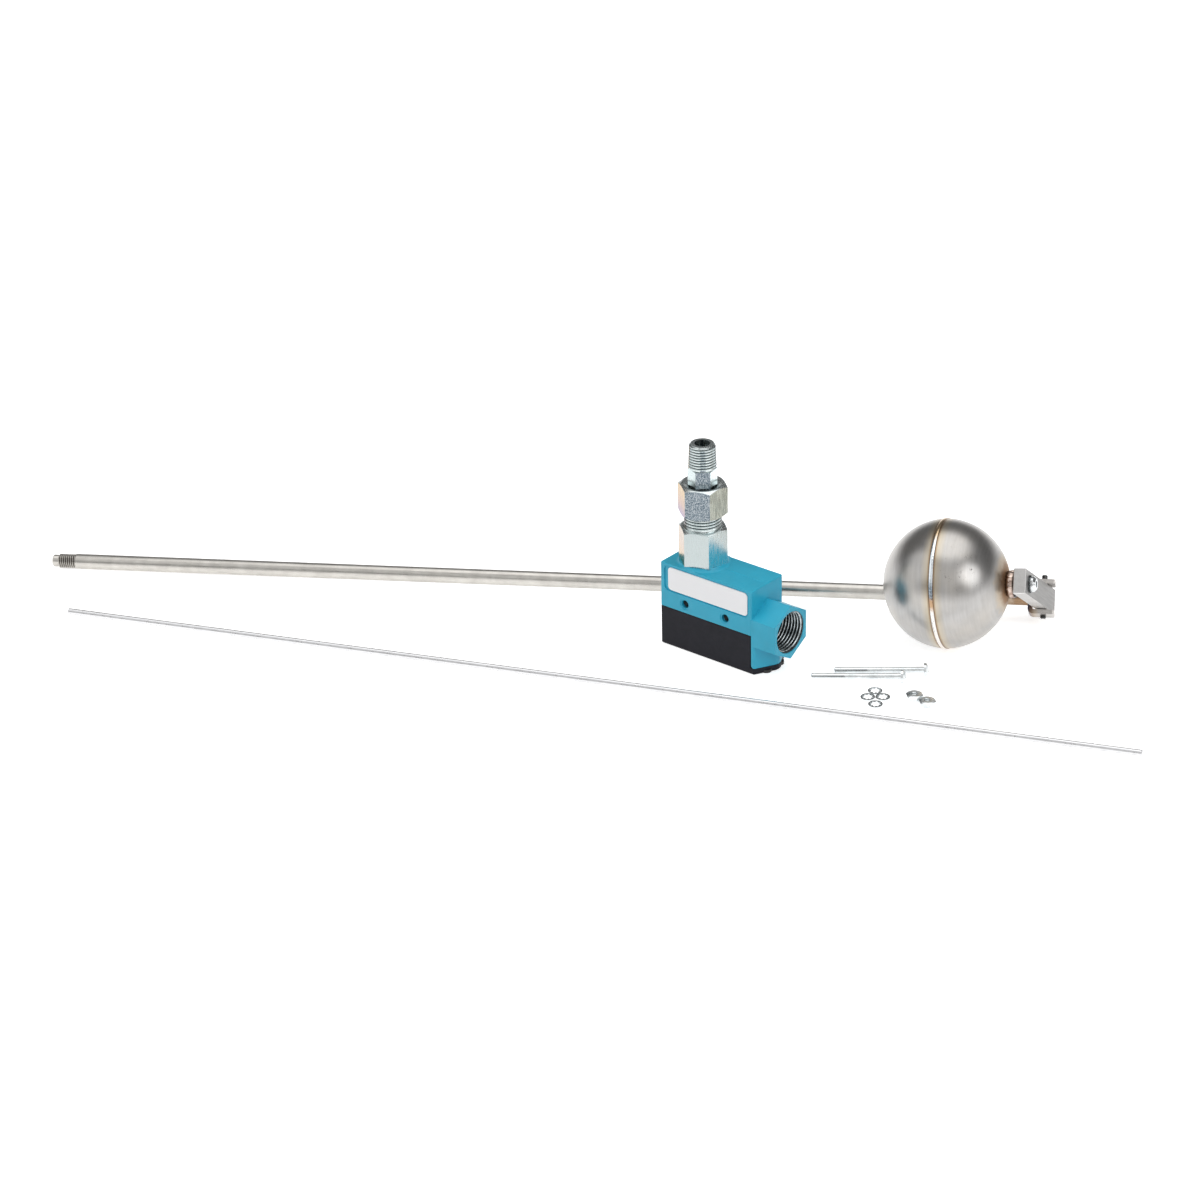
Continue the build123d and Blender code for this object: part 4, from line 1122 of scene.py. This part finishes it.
@dataclass
class Studio:
    """White floor, soft boxes and the camera of the photograph."""

    camera_place: tuple[float, float, float] = (1.15249, -1.45469, 0.97007)
    boxes: tuple[SoftBox, ...] = (
        SoftBox((0.85, -0.02, 0.52), 13, 22, 3.0),
        SoftBox((-0.03, 0.16, 0.98), 22, 38, 1.9),
        SoftBox((-0.5, -0.64, 0.58), 20, 34, 1.15),
        SoftBox((0.45, -0.66, 0.6), 16, 36, 0.8),
    )
    wall_levels: tuple[tuple[float, float], ...] = (
        (-1.0, 1.0), (0.14, 1.0), (0.19, 0.2), (0.6, 0.2), (1.0, 0.3),
    )
    azimuth: float = 39.996
    pitch: float = 26.983
    roll: float = 1.238
    focal_px: float = 4142.75
    image_px: float = 1200.0
    sensor: float = 36.0
    floor_size: float = 8.0
    floor_tone: float = 0.86
    floor_glow: float = 0.66

    def camera(self) -> None:
        """Places the camera at the photograph's viewing angle."""
        heading = math.radians(self.azimuth)
        pitch = math.radians(self.pitch)
        roll = math.radians(self.roll)
        forward = Vector((-math.sin(heading) * math.cos(pitch), math.cos(heading) * math.cos(pitch), -math.sin(pitch)))
        right = Vector((math.cos(heading), math.sin(heading), 0))
        above = right.cross(forward)
        tilted_right = right * math.cos(roll) - above * math.sin(roll)
        tilted_above = above * math.cos(roll) + right * math.sin(roll)
        data = bpy.data.cameras.new("camera")
        data.sensor_width = self.sensor
        data.sensor_fit = "HORIZONTAL"
        data.lens = self.focal_px / self.image_px * self.sensor
        data.clip_end = 100
        camera = bpy.data.objects.new("camera", data)
        turn = Matrix((tilted_right, tilted_above, -forward)).transposed().to_4x4()
        camera.matrix_world = Matrix.Translation(Vector(self.camera_place)) @ turn
        bpy.context.scene.collection.objects.link(camera)
        bpy.context.scene.camera = camera

    def floor(self) -> None:
        """Adds the floor: white to the eye and in reflections, with the part's soft shadow."""
        half = self.floor_size / 2
        points = [Vector((x, y, -0.02 * MM)) for x, y in ((-half, -half), (half, -half), (half, half), (-half, half))]
        floor = mesh_object("floor", points, [(0, 1, 2, 3)], smooth=False)
        material = bpy.data.materials.new("floor_white")
        material.use_nodes = True
        tree = material.node_tree
        tree.nodes.clear()
        output = tree.nodes.new("ShaderNodeOutputMaterial")
        diffuse = tree.nodes.new("ShaderNodeBsdfDiffuse")
        diffuse.inputs["Color"].default_value = (self.floor_tone, self.floor_tone, self.floor_tone, 1)
        glow = tree.nodes.new("ShaderNodeEmission")
        both = tree.nodes.new("ShaderNodeAddShader")
        tree.links.new(diffuse.outputs[0], both.inputs[0])
        tree.links.new(glow.outputs[0], both.inputs[1])
        glow.inputs["Strength"].default_value = self.floor_glow
        path = tree.nodes.new("ShaderNodeLightPath")
        seen = path.outputs["Is Camera Ray"]
        for kind in ("Is Glossy Ray", "Is Transmission Ray"):
            either = tree.nodes.new("ShaderNodeMath")
            either.operation = "MAXIMUM"
            tree.links.new(seen, either.inputs[0])
            tree.links.new(path.outputs[kind], either.inputs[1])
            seen = either.outputs[0]
        choice = tree.nodes.new("ShaderNodeMixShader")
        tree.links.new(seen, choice.inputs[0])
        tree.links.new(diffuse.outputs[0], choice.inputs[1])
        tree.links.new(both.outputs[0], choice.inputs[2])
        tree.links.new(choice.outputs[0], output.inputs["Surface"])
        floor.data.materials.append(material)

    def world(self) -> None:
        """Sets a studio of white walls, a dim ceiling and soft boxes."""
        world = bpy.data.worlds.new("studio")
        bpy.context.scene.world = world
        world.use_nodes = True
        tree = world.node_tree
        tree.nodes.clear()
        output = tree.nodes.new("ShaderNodeOutputWorld")
        room = tree.nodes.new("ShaderNodeBackground")
        direction = tree.nodes.new("ShaderNodeTexCoord").outputs["Generated"]
        total = self.walls(tree, direction)
        for box in self.boxes:
            total = add_up(tree, total, box.glow(tree, direction))
        tree.links.new(total, room.inputs["Strength"])
        tree.links.new(room.outputs[0], output.inputs["Surface"])

    def walls(self, tree: bpy.types.NodeTree, direction: Socket) -> Socket:
        """Adds the room's own brightness by height.

        Args:
            tree: Node tree of the world.
            direction: Direction that is looked in.

        Returns:
            The brightness.
        """
        parts = tree.nodes.new("ShaderNodeSeparateXYZ")
        tree.links.new(direction, parts.inputs[0])
        ramp = tree.nodes.new("ShaderNodeValToRGB")
        elements = ramp.color_ramp.elements
        while len(elements) < len(self.wall_levels):
            elements.new(0.5)
        for element, (height, level) in zip(elements, self.wall_levels):
            element.position = (height + 1) / 2
            element.color = (level, level, level, 1)
        lifted = tree.nodes.new("ShaderNodeMapRange")
        lifted.inputs["From Min"].default_value = -1
        tree.links.new(parts.outputs["Z"], lifted.inputs["Value"])
        tree.links.new(lifted.outputs["Result"], ramp.inputs["Fac"])
        return ramp.outputs["Color"]

    def build(self) -> None:
        """Sets up the view, the floor and the light."""
        bpy.context.scene.view_settings.view_transform = "Standard"
        self.camera()
        self.floor()
        self.world()


@dataclass(frozen=True)
class Layout:
    """Places of the tube, the pin and the ball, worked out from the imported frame."""

    frame: dict
    bar_lean: float = 10.48
    ball_along_bar: float = 44.44 * MM
    ball_off_bar: float = 39.46 * MM
    nose: float = 4.2 * MM

    def tube(self) -> Place:
        """Returns the frame at the tube's free tip, with its axis towards the fork."""
        end = next(mount for mount in self.frame["record"]["mounts"] if mount["name"] == "tube_end_thread")
        along_tube = -Vector(end["axis"]).normalized()
        return Place.make(Vector(end["pos_m"]) - along_tube * self.nose, along_tube, self.pin_axis())

    def pin_axis(self) -> Vector:
        """Returns the direction of the pin."""
        return Vector(self.hinge()["axis"]).normalized()

    def hinge(self) -> dict:
        """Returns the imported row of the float's hinge."""
        return next(joint for joint in self.frame["joints"] if joint["name"] == "float_hinge")

    def pin(self) -> Place:
        """Returns the frame of the pin, with the tube's direction across it."""
        return Place.make(Vector(self.hinge()["pos_m"]), self.pin_axis(), self.tube().axis)

    def hub(self) -> Place:
        """Returns the frame at the ball's centre, with its axis through the spud and the bar across it."""
        pin = self.pin()
        across_fork = self.tube().axis.cross(pin.axis).normalized()
        lean = math.radians(self.bar_lean)
        off_bar = pin.across * math.cos(lean) + across_fork * math.sin(lean)
        along_bar = across_fork * math.cos(lean) - pin.across * math.sin(lean)
        centre = pin.origin + along_bar * self.ball_along_bar - off_bar * self.ball_off_bar
        return Place.make(centre, off_bar, along_bar)


def main() -> None:
    """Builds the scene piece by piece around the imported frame."""
    logging.basicConfig(level=logging.INFO, format="%(name)s: %(message)s")
    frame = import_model()
    dresser = Dresser(frame)
    layout = Layout(frame)
    Enclosure(dresser).build()
    Fitting(dresser).build()
    TubeAndFork(dresser, layout.tube(), layout.pin()).build()
    Float(dresser, layout.hub()).build()
    Hardware(dresser).build()
    Studio().build()
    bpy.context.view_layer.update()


if __name__ == "__main__":
    main()
